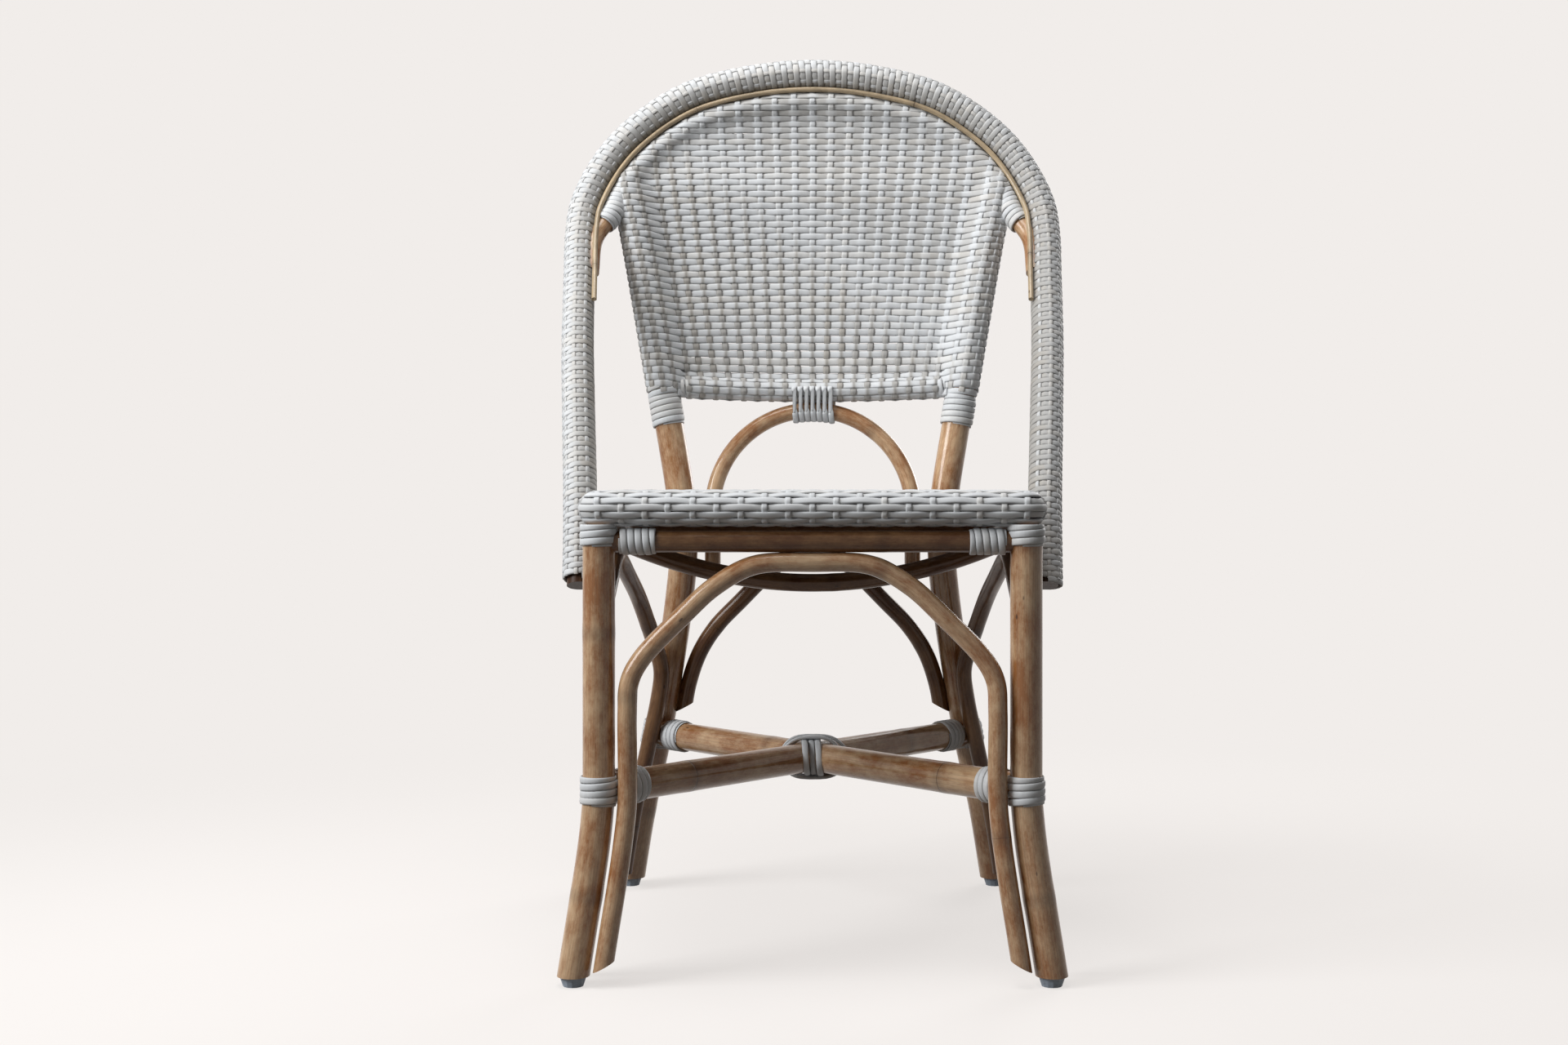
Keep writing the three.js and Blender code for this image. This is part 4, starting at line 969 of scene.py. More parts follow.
def cane_material():
    tones = bpy.context.scene.chair_colours
    return cane_finish("Lacquered cane", tones.cane_pale, tones.cane_warm, LACQUER_COAT_SHARE)


# Painted shade: the darker cane of the poles that lie in the seat's shade
def deep_shaded_cane_material():
    tones = bpy.context.scene.chair_colours
    return cane_finish("Deep cane", tones.cane_deep_shaded, tones.cane_deep_shaded_warm, DEEP_COAT_SHARE)


# Painted shade: the poles inside the weave and the hoop's bare ends are darkened
def inner_shaded_cane_material():
    tones = bpy.context.scene.chair_colours
    return cane_finish("Inner cane", tones.cane_inner_shaded, tones.cane_dark, 0)


def peel_material():
    peel = bpy.context.scene.chair_colours.peel
    return cane_finish("Peeled cane", peel, [share * PEEL_SHADE_SHARE for share in peel], LACQUER_COAT_SHARE)


def strand_material():
    """Satin strand with faint lengthwise lines, with painted shade: darker along its sides, darker and warmer
    where it dips
    """
    name = "Woven strand"
    if name in bpy.data.materials:
        return bpy.data.materials[name]
    tones, shares = bpy.context.scene.chair_colours, STRAND_SHARES
    material, tree, shader = material_tree(name)
    # The dip attribute holds painted shade: where a strand dips under another, and the panel's shade columns
    tone, dip = attribute(tree, "tone"), ramped(tree, attribute(tree, "dip"), *DIP_SHADE_RAMP)
    place = new_node(tree, "ShaderNodeCombineXYZ", times(tree, attribute(tree, "around"), STRAND_GIRTH),
                     times(tree, tone, TONE_SPREAD), attribute(tree, "run"))
    lines, clouds = noise(tree, place, *STRAND_LINES), noise(tree, place, *STRAND_CLOUDS)
    # Warmth: the strands' own warmer tone, and painted warm shade in the dips
    warmth = plus(tree, times(tree, ramped(tree, tone, *TONE_RAMP), shares["warm tone"]),
                  times(tree, dip, shares["warm dip"]), clamp=True)
    # Painted shade along each strand's sides, so that the gaps between strands read dark
    flank = ramped(tree, attribute(tree, "flank"), *FLANK_SHADE_RAMP)
    clear = [rest(tree, times(tree, mask, shares[label])) for label, mask in (("flank", flank), ("dip", dip))]
    shade = plus(tree, shares["least"], times(tree, clouds, shares["clouds"]))
    shade = times(tree, shade, times(tree, *clear))
    strand = mixed(tree, warmth, tones.strand, tones.strand_warm)
    least, added = STRAND_ROUGHNESS
    fill_all(tree, shader, {"Base Color": mixed(tree, 1, strand, shade, blend_type="MULTIPLY"),
                            "Roughness": plus(tree, least, times(tree, lines, added)),
                            "Specular IOR Level": STRAND_SHEEN})
    bumped(tree, shader, lines, *STRAND_BUMP)
    return material


def glide_material():
    """Moulded glide with paler and darker scuffs"""
    name = "Moulded glide"
    if name in bpy.data.materials:
        return bpy.data.materials[name]
    glide = bpy.context.scene.chair_colours.glide
    material, tree, shader = material_tree(name)
    scuffs = noise(tree, new_node(tree, "ShaderNodeTexCoord").outputs["Object"], *SCUFFS)
    least, added = GLIDE_ROUGHNESS
    darker = [tone * SCUFF_SHADE_SHARE for tone in glide]
    fill_all(tree, shader, {"Base Color": mixed(tree, ramped(tree, scuffs, *SCUFF_RAMP), glide, darker),
                            "Roughness": plus(tree, least, times(tree, scuffs, added))})
    bumped(tree, shader, scuffs, *GLIDE_BUMP)
    return material


def seen_rays(tree):
    """The rays that show the plain background: straight, mirrored or through glass"""
    rays = new_node(tree, "ShaderNodeLightPath").outputs
    mirrored_too = plus(tree, rays["Is Camera Ray"], rays["Is Glossy Ray"], clamp=True)
    return plus(tree, mirrored_too, rays["Is Transmission Ray"], clamp=True)


def floor_material():
    """A pale floor that keeps the chair's shadow and otherwise shows its own colour"""
    tones, studio = bpy.context.scene.chair_colours, bpy.context.scene.chair_studio
    material, tree, shader = material_tree("Pale floor")
    seen = seen_rays(tree)
    place = new_node(tree, "ShaderNodeTexCoord").outputs["Object"]
    away = new_node(tree, "ShaderNodeVectorMath", place, operation="LENGTH").outputs["Value"]
    fade = ramped(tree, away, studio.shadow_reach * FADE_START_SHARE, studio.shadow_reach)
    plain = plus(tree, times(tree, fade, studio.floor_shadow), 1 - studio.floor_shadow)
    lost = times(tree, rest(tree, plain), studio.floor_dimness)
    glow = new_node(tree, "ShaderNodeEmission", Color=tones.floor, Strength=plus(tree, 1, lost))
    fill_all(tree, shader, {"Base Color": mixed(tree, seen, tones.floor_bounce, tones.floor),
                            "Roughness": FLOOR_ROUGHNESS})
    shown = new_node(tree, "ShaderNodeMixShader", times(tree, seen, plain), shader, glow)
    fill(tree, tree.nodes["Material Output"].inputs["Surface"], shown)
    return material


# Operators
class CHAIR_OT_uprights(Operator):
    """Front legs and rear posts, cut flat above their glides"""
    bl_idname = "chair.uprights"
    bl_label = "Legs and posts"

    def execute(self, context):
        plan = Plan(context.scene)
        poles = plan.poles
        cuts = [flat_cut(poles.sole_top)]
        post = Line(plan.post.part(0, plan.post.distance_at_height(poles.post_tip)))
        for side, sign in SIGNS.items():
            add_pole(f"front_leg_{side}", plan.sided(plan.leg, sign), poles.leg_diameter, cuts=cuts)
            add_pole(f"rear_post_{side}", plan.sided(post, sign), poles.post_diameter, cuts=cuts)
        return {"FINISHED"}


class CHAIR_OT_under_seat(Operator):
    """Aprons, the seat's support and the crossed stretchers"""
    bl_idname = "chair.under_seat"
    bl_label = "Rails under the seat"

    def execute(self, context):
        plan = Plan(context.scene)
        poles = plan.poles
        apron = plan.crosswise_line(poles.leg_reach, plan.apron_height)
        rail = plan.crosswise_line(plan.ring_half - plan.weave.seat_front_corner, plan.ring_height)
        cane, deep, inner = cane_material(), deep_shaded_cane_material(), inner_shaded_cane_material()
        # The aprons and the seat's support take the darker cane: painted shade of the seat, on a deeper brown
        add_pole("apron_front", apron, poles.apron_diameter, deep)
        add_pole("apron_ring", plan.apron_ring(), poles.apron_diameter, deep)
        # The seat's ring and front rail take the darkened inner cane: painted shade in the gaps of the weave
        add_pole("seat_ring_bent", plan.seat_ring(), poles.seat_ring_diameter, inner)
        add_pole("seat_rail_front", rail, poles.seat_ring_diameter, inner)
        add_pole("seat_support_bow", plan.support(), poles.support_diameter, deep)
        add_pole("stretcher_lower_lap", plan.stretcher(1), poles.stretcher_diameter, cane)
        add_pole("stretcher_upper_lap", plan.stretcher(-1), poles.stretcher_diameter, cane)
        return {"FINISHED"}


class CHAIR_OT_bows(Operator):
    """The bows that brace the legs on all four sides"""
    bl_idname = "chair.bows"
    bl_label = "Bows"

    def execute(self, context):
        plan = Plan(context.scene)
        poles = plan.poles
        # The rear and side bows take the darker cane: painted shade of the seat, on a deeper brown; the front
        # bow keeps the lacquered cane
        bows = (("bow_front", plan.bow_front(), poles.bow_foot, cane_material()),
                ("bow_rear", plan.bow_rear(), poles.rear_bow_foot, deep_shaded_cane_material()))
        for name, line, foot, material in bows:
            cuts = [slanted_cut(line, foot, sign, poles.bow_end_slope) for sign in SIGNS.values()]
            add_pole(name, line, poles.bow_diameter, material, cuts)
        cuts = [flat_cut(poles.bow_foot)]
        for side, sign in SIGNS.items():
            add_pole(f"bow_{side}", plan.bow_side(sign), poles.bow_diameter, deep_shaded_cane_material(), cuts)
        return {"FINISHED"}


class CHAIR_OT_back_poles(Operator):
    """The hoop's pole, the inner arch, its trim and the lower arch"""
    bl_idname = "chair.back_poles"
    bl_label = "Poles of the back"

    def execute(self, context):
        plan = Plan(context.scene)
        poles = plan.poles
        # The hoop's pole takes the darkened inner cane: painted shade in the weave's gaps and on its bare
        # ends
        add_pole("hoop_pole", plan.hoop, poles.hoop_pole_diameter, inner_shaded_cane_material())
        add_pole("inner_arch", plan.arch, poles.arch_diameter)
        add_pole("arch_trim", plan.trim, poles.trim_diameter, peel_material())
        add_pole("lower_arch", plan.lower_arch, poles.lower_arch_diameter)
        inset = poles.post_diameter / 2
        rail = Line(plan.rail.part(inset, plan.rail.length - inset))
        # The rail takes the darkened inner cane: painted shade where it shows through the panel
        add_pole("back_rail", rail, poles.back_rail_diameter, inner_shaded_cane_material())
        return {"FINISHED"}


class CHAIR_OT_hoop_weave(Operator):
    """Turns round the hoop, with warps woven in on its front and outer sides"""
    bl_idname = "chair.hoop_weave"
    bl_label = "Hoop weave"

    warp_turn_shares = (-0.1, 0.018, 0.13, 0.235)
    warp_shoulder_share = 0.013
    weave_edge_share = 0.035
    level_share = 0.078
    level_height = 0.6
    rear_share = 0.6
    warp_end_share = 0.3
    plain_steps = 12
    warp_steps = 4
    pitch_steps = 400
    steepness = 5
    sway = 0.00008
    lift_share = 0.3
    turn_width_share = 1.03
    turn_thickness_share = 1.1
    # Painted shade: on the turns under the warps, on the warps, and on the hoop's inner side towards the
    # panel
    turn_shade_share = 0.55
    warp_shade_shares = (0.55, 0.2)
    side_shade_shares = (0.65, 0.3)

    def execute(self, context):
        plan = Plan(context.scene)
        self.line, self.weave = plan.hoop, plan.weave
        self.middle = plan.poles.hoop_woven_diameter / 2 - self.weave.strand_thickness
        self.count_turns(plan.poles)
        chance = np.random.default_rng(context.scene.chair_studio.seed)
        thick, width = self.weave.strand_thickness, self.weave.hoop_top_pitch * self.turn_width_share
        add_strands("hoop_turns", "hoop_weave", [self.turn_strand(chance)], width,
                    thick * self.turn_thickness_share)
        warps = self.warp_strands(chance)
        add_strands("hoop_warps", "hoop_weave", warps, self.weave.hoop_warp_width, thick)
        return {"FINISHED"}

    def count_turns(self, poles):
        """Numbers the turns along the hoop, closer at its ends than at its top"""
        bare = poles.hoop_bare_end
        self.marks = np.linspace(bare, self.line.length - bare, self.pitch_steps)
        height = self.line.pick(self.line.points, self.marks)[:, 2]
        rise = np.clip((height - poles.hoop_end) / (poles.hoop_height - poles.hoop_end), 0, 1)
        self.pitch = lerp(self.weave.hoop_foot_pitch, self.weave.hoop_top_pitch, rise)
        steps = np.diff(self.marks) / ((self.pitch[1:] + self.pitch[:-1]) / 2)
        self.turn_numbers = np.concatenate([[0], np.cumsum(steps)])
        self.turns = int(self.turn_numbers[-1])

    def turn_steps(self, warps):
        """Places round one turn, close together beside the warps"""
        shoulder, edge = self.warp_shoulder_share, self.weave_edge_share
        between = (warps[1:] + warps[:-1]) / 2
        ends = [warps[0] - edge, warps[-1] + edge]
        fine = np.concatenate([warps - shoulder, warps + shoulder, between, ends])
        plain = np.linspace(fine.max(), fine.min() + 1, self.plain_steps)[1:-1]
        return np.unique(np.concatenate([fine[fine >= 0], fine[fine < 0] + 1, plain]))

    def turn_strand(self, chance):
        warps = np.array(self.warp_turn_shares)
        steps = self.turn_steps(warps)
        turned = 2 * math.pi * steps
        # Painted shade, darkest on the hoop's inner side
        least, added = self.side_shade_shares
        inner_side_shade = least - added * np.sin(turned)
        tones = chance.uniform(0, 1, self.turns + 1)
        parts = []
        for turn in range(self.turns):
            distance = np.interp(turn + steps, self.turn_numbers, self.marks)
            centre, side, face = self.line.frames(distance)
            out = around(face, -side, turned)
            lift = self.lift(steps, warps, turn) * self.weave.strand_thickness * self.lift_share
            radius = self.middle + lift + chance.normal(0, self.sway, len(steps))
            parts.append({"spots": centre + out * radius[:, None], "out": out,
                          "tone": np.full(len(steps), tones[turn]),
                          "size": np.interp(distance, self.marks, self.pitch) / self.weave.hoop_top_pitch,
                          "dip": np.maximum(self.turn_shade_share * dipped(lift), inner_side_shade)})
        return {label: np.concatenate([part[label] for part in parts]) for label in parts[0]}

    def lift(self, steps, warps, turn):
        """Above or below the warps by turns, and level where there are none"""
        knots = [warps[0] - self.level_share, *warps, warps[-1] + self.level_share]
        heights = [(1 if (turn + index) % 2 else -1) for index in range(len(warps))]
        heights = np.array([self.level_height, *heights, self.level_height])
        spread = np.where(steps > self.rear_share, steps - 1, steps)
        place = np.interp(spread, knots, np.arange(len(knots)))
        low = np.floor(place).astype(int)
        high = np.minimum(low + 1, len(knots) - 1)
        ease = (1 + np.tanh(self.steepness * (place - low - 0.5)) / math.tanh(self.steepness / 2)) / 2
        return lerp(heights[low], heights[high], ease)

    def warp_strands(self, chance):
        strands = []
        end = self.warp_end_share
        number = np.linspace(end, self.turns - end, self.turns * self.warp_steps)
        centre, side, face = self.line.frames(np.interp(number, self.turn_numbers, self.marks))
        # The warps' dip is painted shade: some all along, more where they dip
        least, added = self.warp_shade_shares
        for index, warp in enumerate(self.warp_turn_shares):
            lift = np.cos(math.pi * (number - warp % 1 + index))
            out = around(face, -side, np.array(2 * math.pi * warp))
            radius = self.middle + lift * self.weave.strand_thickness * self.lift_share
            strands.append({"spots": centre + out * radius[:, None], "out": out, "tone": chance.uniform(0, 1),
                            "dip": least + added * dipped(lift)})
        return strands


def easing(values, start, end):
    share = np.clip((values - start) / (end - start), 0, 1)
    return share * share * (3 - 2 * share)


def eased(marks, heights, places):
    """Heights at marks, joined by easy waves"""
    place = np.interp(places, marks, np.arange(len(marks)))
    low = np.clip(np.floor(place).astype(int), 0, len(marks) - 1)
    high = np.minimum(low + 1, len(marks) - 1)
    ease = (1 - np.cos(math.pi * (place - low))) / 2
    heights = np.asarray(heights, float)
    return lerp(heights[low], heights[high], ease)


# Where a sheet lands on the tube at its edge, and how it ends behind
LANDING = math.radians(55)
ROLL_TUCK = 0.002
ROLL_END_SHARE = 0.9


def roll(walked, start, radius):
    """Leads a sheet from its edge onto a tube, round most of it, and back behind itself"""
    cos, sin = math.cos(LANDING), math.sin(LANDING)
    land = radius[:, None] * np.array((cos, sin))
    leave = land * (1, -1)
    behind = start - (0, ROLL_TUCK)
    front_lead = np.linalg.norm(land - start, axis=1)
    rear_lead = np.linalg.norm(leave - behind, axis=1)
    arc = 2 * radius * (math.pi - LANDING)
    near, travel = lead(start, land, front_lead[:, None] * np.array((-1, 0)),
                              front_lead[:, None] * np.array((-sin, cos)), np.clip(walked / front_lead, 0, 1))
    far, back_travel = lead(leave, behind, rear_lead[:, None] * np.array((sin, cos)),
                                  rear_lead[:, None] * np.array((1, 0)),
                                  np.clip((walked - front_lead - arc) / rear_lead, 0, 1))
    turn = LANDING + np.clip(walked - front_lead, 0, arc) / radius
    outward = np.column_stack([np.cos(turn), np.sin(turn)])
    on_front = (walked < front_lead)[:, None]
    on_rear = (walked > front_lead + arc)[:, None]
    travel = np.where(on_rear, back_travel, travel)
    normal = unit(np.column_stack([travel[:, 1], -travel[:, 0]]))
    places = np.where(on_front, near, np.where(on_rear, far, outward * radius[:, None]))
    normal = np.where(on_front | on_rear, normal, outward)
    return places, normal, front_lead, front_lead + arc + ROLL_END_SHARE * rear_lead


def dipped(lifts):
    """How far a strand lies below its highest places, from nothing to full"""
    highest, lowest = np.max(lifts), np.min(lifts)
    return (highest - lifts) / max(highest - lowest, TINY)


def alternating(numbers, height):
    """Heights above and below by turns"""
    return [(1 if number % 2 else -1) * height for number in numbers]


def subdivided(marks, steps):
    """More places between marks, the same number between each two"""
    numbers = np.linspace(0, len(marks) - 1, (len(marks) - 1) * steps + 1)
    return np.interp(numbers, np.arange(len(marks)), marks)


class Sheet:
    """A woven surface: places in its own flat plan, raised along its outward direction"""

    dip_shade_share = 0.75
    least_points = 4

    def strands(self, points, lifts, tone, size=1, shade=0):
        spots, out, keep = self.lay(points)
        shade = np.broadcast_to(shade, len(points))
        edges = np.flatnonzero(np.diff(np.concatenate([[0], keep.astype(int), [0]])))
        pieces = []
        for start, end in zip(edges[::2], edges[1::2]):
            if end - start >= self.least_points:
                part = slice(start, end)
                # Painted shade: darker where the strand dips under its neighbours, or the given shade where
                # that is more
                dip = np.maximum(self.dip_shade_share * dipped(lifts[part]), shade[part])
                pieces.append({"spots": spots[part] + out[part] * lifts[part][:, None], "out": out[part],
                               "tone": tone, "size": size, "dip": dip})
        return pieces


class SeatSheet(Sheet):
    """The seat's top and its rolled edge, unrolled flat"""

    roll_angle = math.radians(215)
    corner_steps = 12
    front_spacing = 0.0042
    row_sway = 0.00018
    dive_start_share = 2.5
    dive_share = 1.3

    def __init__(self, plan):
        self.weave = weave = plan.weave
        self.half, self.reach = plan.ring_half, weave.seat_ring_reach
        self.front_corner, self.rear_corner = weave.seat_front_corner, weave.seat_rear_corner
        self.height = plan.ring_height
        self.radius = weave.seat_edge / 2 - weave.strand_thickness
        self.limit = self.radius * self.roll_angle
        corner = self.front_corner
        half = [(self.half, corner + weave.seat_tuck, self.height)]
        half += [(self.half - corner + corner * math.cos(turn), corner - corner * math.sin(turn), self.height)
                 for turn in np.linspace(0, math.pi / 2, self.corner_steps)]
        self.front = Line(evenly(both_sides([*half, (0, 0, self.height)]), weave.seat_tuck), facing=(0, 0, 1))

    def front_row(self, row, warps, heights, chance):
        """A row on the rolled front edge, bent round both corners and tucked under the sides' first row"""
        line = self.front
        marks = np.linspace(0, line.length, int(line.length / self.front_spacing))
        place = line.length / 2 - marks
        dive_start = line.length / 2 - self.dive_start_share * self.weave.seat_tuck
        dive = easing(np.abs(place), dive_start, line.length / 2)
        lift = lerp(eased(warps, heights, place), -self.dive_share * self.weave.strand_thickness, dive)
        centre, side, face = line.frames(marks)
        turn = (np.interp(place, warps, chance.normal(0, self.row_sway, len(warps))) - row) / self.radius
        out = around(face, side, turn)
        spots = centre + out * (self.radius + lift)[:, None]
        # The dip is painted shade where the row dips under the warps
        return {"spots": spots, "out": out, "tone": chance.uniform(0, 1), "dip": dipped(lift)}

    def edge(self, points):
        """Distance outside the ring's line, and the outward direction"""
        x, y = np.abs(points[:, 0]), points[:, 1]
        beyond = np.column_stack([x - self.half, -y, y - self.reach])
        nearest = np.argmax(beyond, axis=1)
        distance = beyond[np.arange(len(x)), nearest]
        ways = np.array([(1, 0), (0, -1), (0, 1)], float)[nearest]
        rear = self.reach - self.rear_corner
        corners = ((self.front_corner, self.front_corner - y, -1), (self.rear_corner, y - rear, 1))
        for corner, along, sign in corners:
            across = x - (self.half - corner)
            inside = (across > 0) & (along > 0)
            away = np.maximum(np.hypot(across, along), TINY)
            distance = np.where(inside, away - corner, distance)
            turned = np.column_stack([across, along * sign]) / away[:, None]
            ways = np.where(inside[:, None], turned, ways)
        return distance, ways * np.column_stack([np.where(points[:, 0] < 0, -1, 1), np.ones_like(x)])

    def lay(self, points):
        distance, ways = self.edge(points)
        turn = np.maximum(distance, 0) / self.radius
        slide = self.radius * np.sin(turn) - np.maximum(distance, 0)
        spots = np.column_stack([points + ways * slide[:, None], self.height + self.radius * np.cos(turn)])
        out = np.column_stack([ways * np.sin(turn)[:, None], np.cos(turn)])
        return spots, out, distance < self.limit


class Edge:
    """A tube along the panel's edge, with the way inwards and the way to the front at every point"""

    searched_at_once = 2000

    def __init__(self, points, radii, leads):
        line = Line(points, facing=(0, -1, 0))
        self.points, self.along, self.face = line.points, line.along, line.face
        self.inward = unit(np.cross(line.face, line.along))
        self.flat = line.points[:, [0, 2]]
        self.flat_inward = unit(self.inward[:, [0, 2]])
        self.radii, self.leads = radii, leads

    def nearest(self, points):
        parts = [points[start:start + self.searched_at_once]
                 for start in range(0, len(points), self.searched_at_once)]
        return np.concatenate([np.argmin(np.linalg.norm(part[:, None] - self.flat[None], axis=2), axis=1)
                               for part in parts])

    def foot(self, points):
        """The nearest place on the edge, and how far inside it a point lies"""
        index = self.nearest(points)
        places, gaps = [], []
        for shift in (-1, 0):
            start = np.clip(index + shift, 0, len(self.flat) - 2)
            step = self.flat[start + 1] - self.flat[start]
            way = points - self.flat[start]
            share = np.clip(dot(way, step) / dot(step, step), 0, 1)
            places.append(start + share)
            gaps.append(np.linalg.norm(way - step * share[:, None], axis=1))
        place = np.where(gaps[1] < gaps[0], places[1], places[0])
        gap = np.minimum(*gaps)
        way = points - self.at(self.flat, place)
        inside = dot(way, self.at(self.flat_inward, place)) >= 0
        return place, np.where(inside, gap, -gap)

    def at(self, values, place):
        index = np.clip(np.floor(place).astype(int), 0, len(values) - 2)
        share = place - index
        if values.ndim > 1:
            share = share[:, None]
        return lerp(values[index], values[index + 1], share)

    def rolled(self, points, place, inside, flat_part):
        """Places, outward directions, the distance walked on the roll and its limit"""
        radius, lead = self.at(self.radii, place), self.at(self.leads, place)
        base, along = self.at(self.points, place), unit(self.at(self.along, place))
        inward, face = unit(self.at(self.inward, place)), unit(self.at(self.face, place))
        begin = self.at(self.flat, place) + unit(self.at(self.flat_inward, place)) * (radius + lead)[:, None]
        way = flat_part(begin) - base
        start = np.column_stack([dot(way, inward), dot(way, face)])
        walked = radius + lead - inside
        section, normal, first, limit = roll(walked, start, radius)
        drift = dot(way, along) * np.clip(1 - walked / first, 0, 1)
        spots = base + inward * section[:, :1] + face * section[:, 1:] + along * drift[:, None]
        return spots, inward * normal[:, :1] + face * normal[:, 1:], walked, limit


class BackSheet(Sheet):
    """The panel with its rolled edges over the posts, the arch and the rail, unrolled flat"""

    fan_lines = 8
    edge_line_shares = (0.34, 0.82)
    widest_fan_share = 1.3
    post_lead = 0.022
    arch_lead = 0.012
    rail_lead = 0.008
    rail_blend = 0.012
    rail_margin = 0.002
    outline_spacing = 0.0015
    outline_softening = 13
    radius_softening = 17
    slope_points = 20
    least_half = 0.02
    probe = 0.002
    crown_half = 0.12
    crown_rise = 0.08

    def __init__(self, plan):
        weave, poles = plan.weave, plan.poles
        self.plan, self.weave = plan, weave
        thick = weave.strand_thickness
        self.rail_height = poles.back_rail
        self.step_heights = (weave.back_step_from, weave.back_step_to)
        post = plan.post.part(plan.post.distance_at_height(plan.panel_low), plan.post.length)
        arch = plan.arch.part(plan.arch.distance_at_height(poles.post_top), plan.arch.length / 2)
        post, arch = evenly(post, self.outline_spacing), evenly(arch, self.outline_spacing)
        on_post = np.concatenate([np.ones(len(post)), np.zeros(len(arch) - 1)])
        on_post = np.concatenate([on_post, on_post[::-1][1:]])
        points = self.softened(both_sides(np.vstack([post, arch[1:]])), self.outline_softening)
        share = self.softened(on_post[:, None], self.radius_softening)[:, 0]
        radii = lerp(poles.arch_woven_diameter, weave.post_woven_diameter, share) / 2 - thick
        self.outline = Edge(points, radii, lerp(self.arch_lead, self.post_lead, share))
        rail = plan.rail.points[::-1]
        ones = np.ones(len(rail))
        self.rail = Edge(rail, ones * (weave.rail_woven_diameter / 2 - thick), ones * self.rail_lead)
        self.halves, self.depths, self.heights = points[:len(points) // 2 + 1].T
        self.top = self.heights[-1]
        rise = post[-1] - post[-self.slope_points]
        self.post_slope = rise[0] / rise[2]

    def softened(self, values, count):
        padded = np.pad(values, ((count // 2, count // 2), (0, 0)), mode="reflect", reflect_type="odd")
        weights = np.ones(count) / count
        return np.column_stack([np.convolve(column, weights, mode="valid") for column in padded.T])

    def flat_part(self, points):
        x, z = points[:, 0], points[:, 1]
        half = np.maximum(np.interp(z, self.heights, self.halves), self.least_half)
        dip = np.clip(1 - (x / half) ** 2, 0, 1)
        setback = lerp(self.weave.back_setback, -self.weave.back_step, easing(z, *self.step_heights))
        depth = np.interp(z, self.heights, self.depths) + setback
        return np.column_stack([x, depth + self.plan.hollow(1) * half * dip, z])

    def flat_out(self, points):
        step = self.probe
        across = self.flat_part(points + (step, 0)) - self.flat_part(points - (step, 0))
        up = self.flat_part(points + (0, step)) - self.flat_part(points - (0, step))
        return unit(np.cross(across, up))

    def lay(self, points):
        place, inside = self.outline.foot(points)
        spots, out = self.flat_part(points), self.flat_out(points)
        upper, upper_out, walked, limit = self.outline.rolled(points, place, inside, self.flat_part)
        on_roll = (walked > 0)[:, None]
        spots, out = np.where(on_roll, upper, spots), np.where(on_roll, upper_out, out)
        radius = self.outline.at(self.outline.radii, place)
        rail_place, rail_inside = self.rail.foot(points)
        lower, lower_out, rail_walked, rail_limit = self.rail.rolled(points, rail_place, rail_inside,
                                                                     self.flat_part)
        share = easing(inside, radius, radius + self.rail_blend) * (rail_walked > 0)
        spots = lerp(spots, lower, share[:, None])
        out = unit(lerp(out, lower_out, share[:, None]))
        below = points[:, 1] < self.rail_height - self.rail_margin
        beside = inside < radius
        keep = (walked < limit) & ((rail_walked < rail_limit) | beside)
        keep &= ~(below & beside) | (points[:, 1] > self.plan.panel_low)
        return spots, out, keep

    def warp_pitch(self, heights):
        share = (heights - self.rail_height) / (self.top - self.rail_height)
        return lerp(self.weave.back_warp_foot_pitch, self.weave.back_warp_top_pitch,
                    np.clip(share, 0, self.widest_fan_share))

    def post_across(self, heights):
        """The post's middle line, carried on straight above its top"""
        top = self.plan.poles.post_top
        return (np.interp(np.minimum(heights, top), self.heights, self.halves)
                + self.post_slope * np.maximum(heights - top, 0))

    def warp_across(self, index, heights):
        """Where a warp stands: fanned in the middle, then spread to the post, then wrapped round it"""
        pitch, post = self.warp_pitch(heights), self.post_across(heights)
        beside_fan = abs(index) - self.fan_lines
        if beside_fan <= 0:
            across = abs(index) * pitch
        elif beside_fan <= len(self.edge_line_shares):
            across = lerp(self.fan_lines * pitch, post, self.edge_line_shares[beside_fan - 1])
        else:
            beyond = beside_fan - len(self.edge_line_shares) - 0.5
            across = post + beyond * self.weave.wrap_warp_pitch
        return math.copysign(1, index) * across

    def crown(self, across, heights):
        half = np.maximum(np.interp(heights, self.heights, self.halves), self.crown_half)
        share = easing(heights, self.rail_height, self.rail_height + self.crown_rise)
        rise = lerp(-self.plan.poles.back_rail_sag, self.weave.back_row_crown, share)
        return rise * (1 - np.clip((across / half) ** 2, 0, 1))


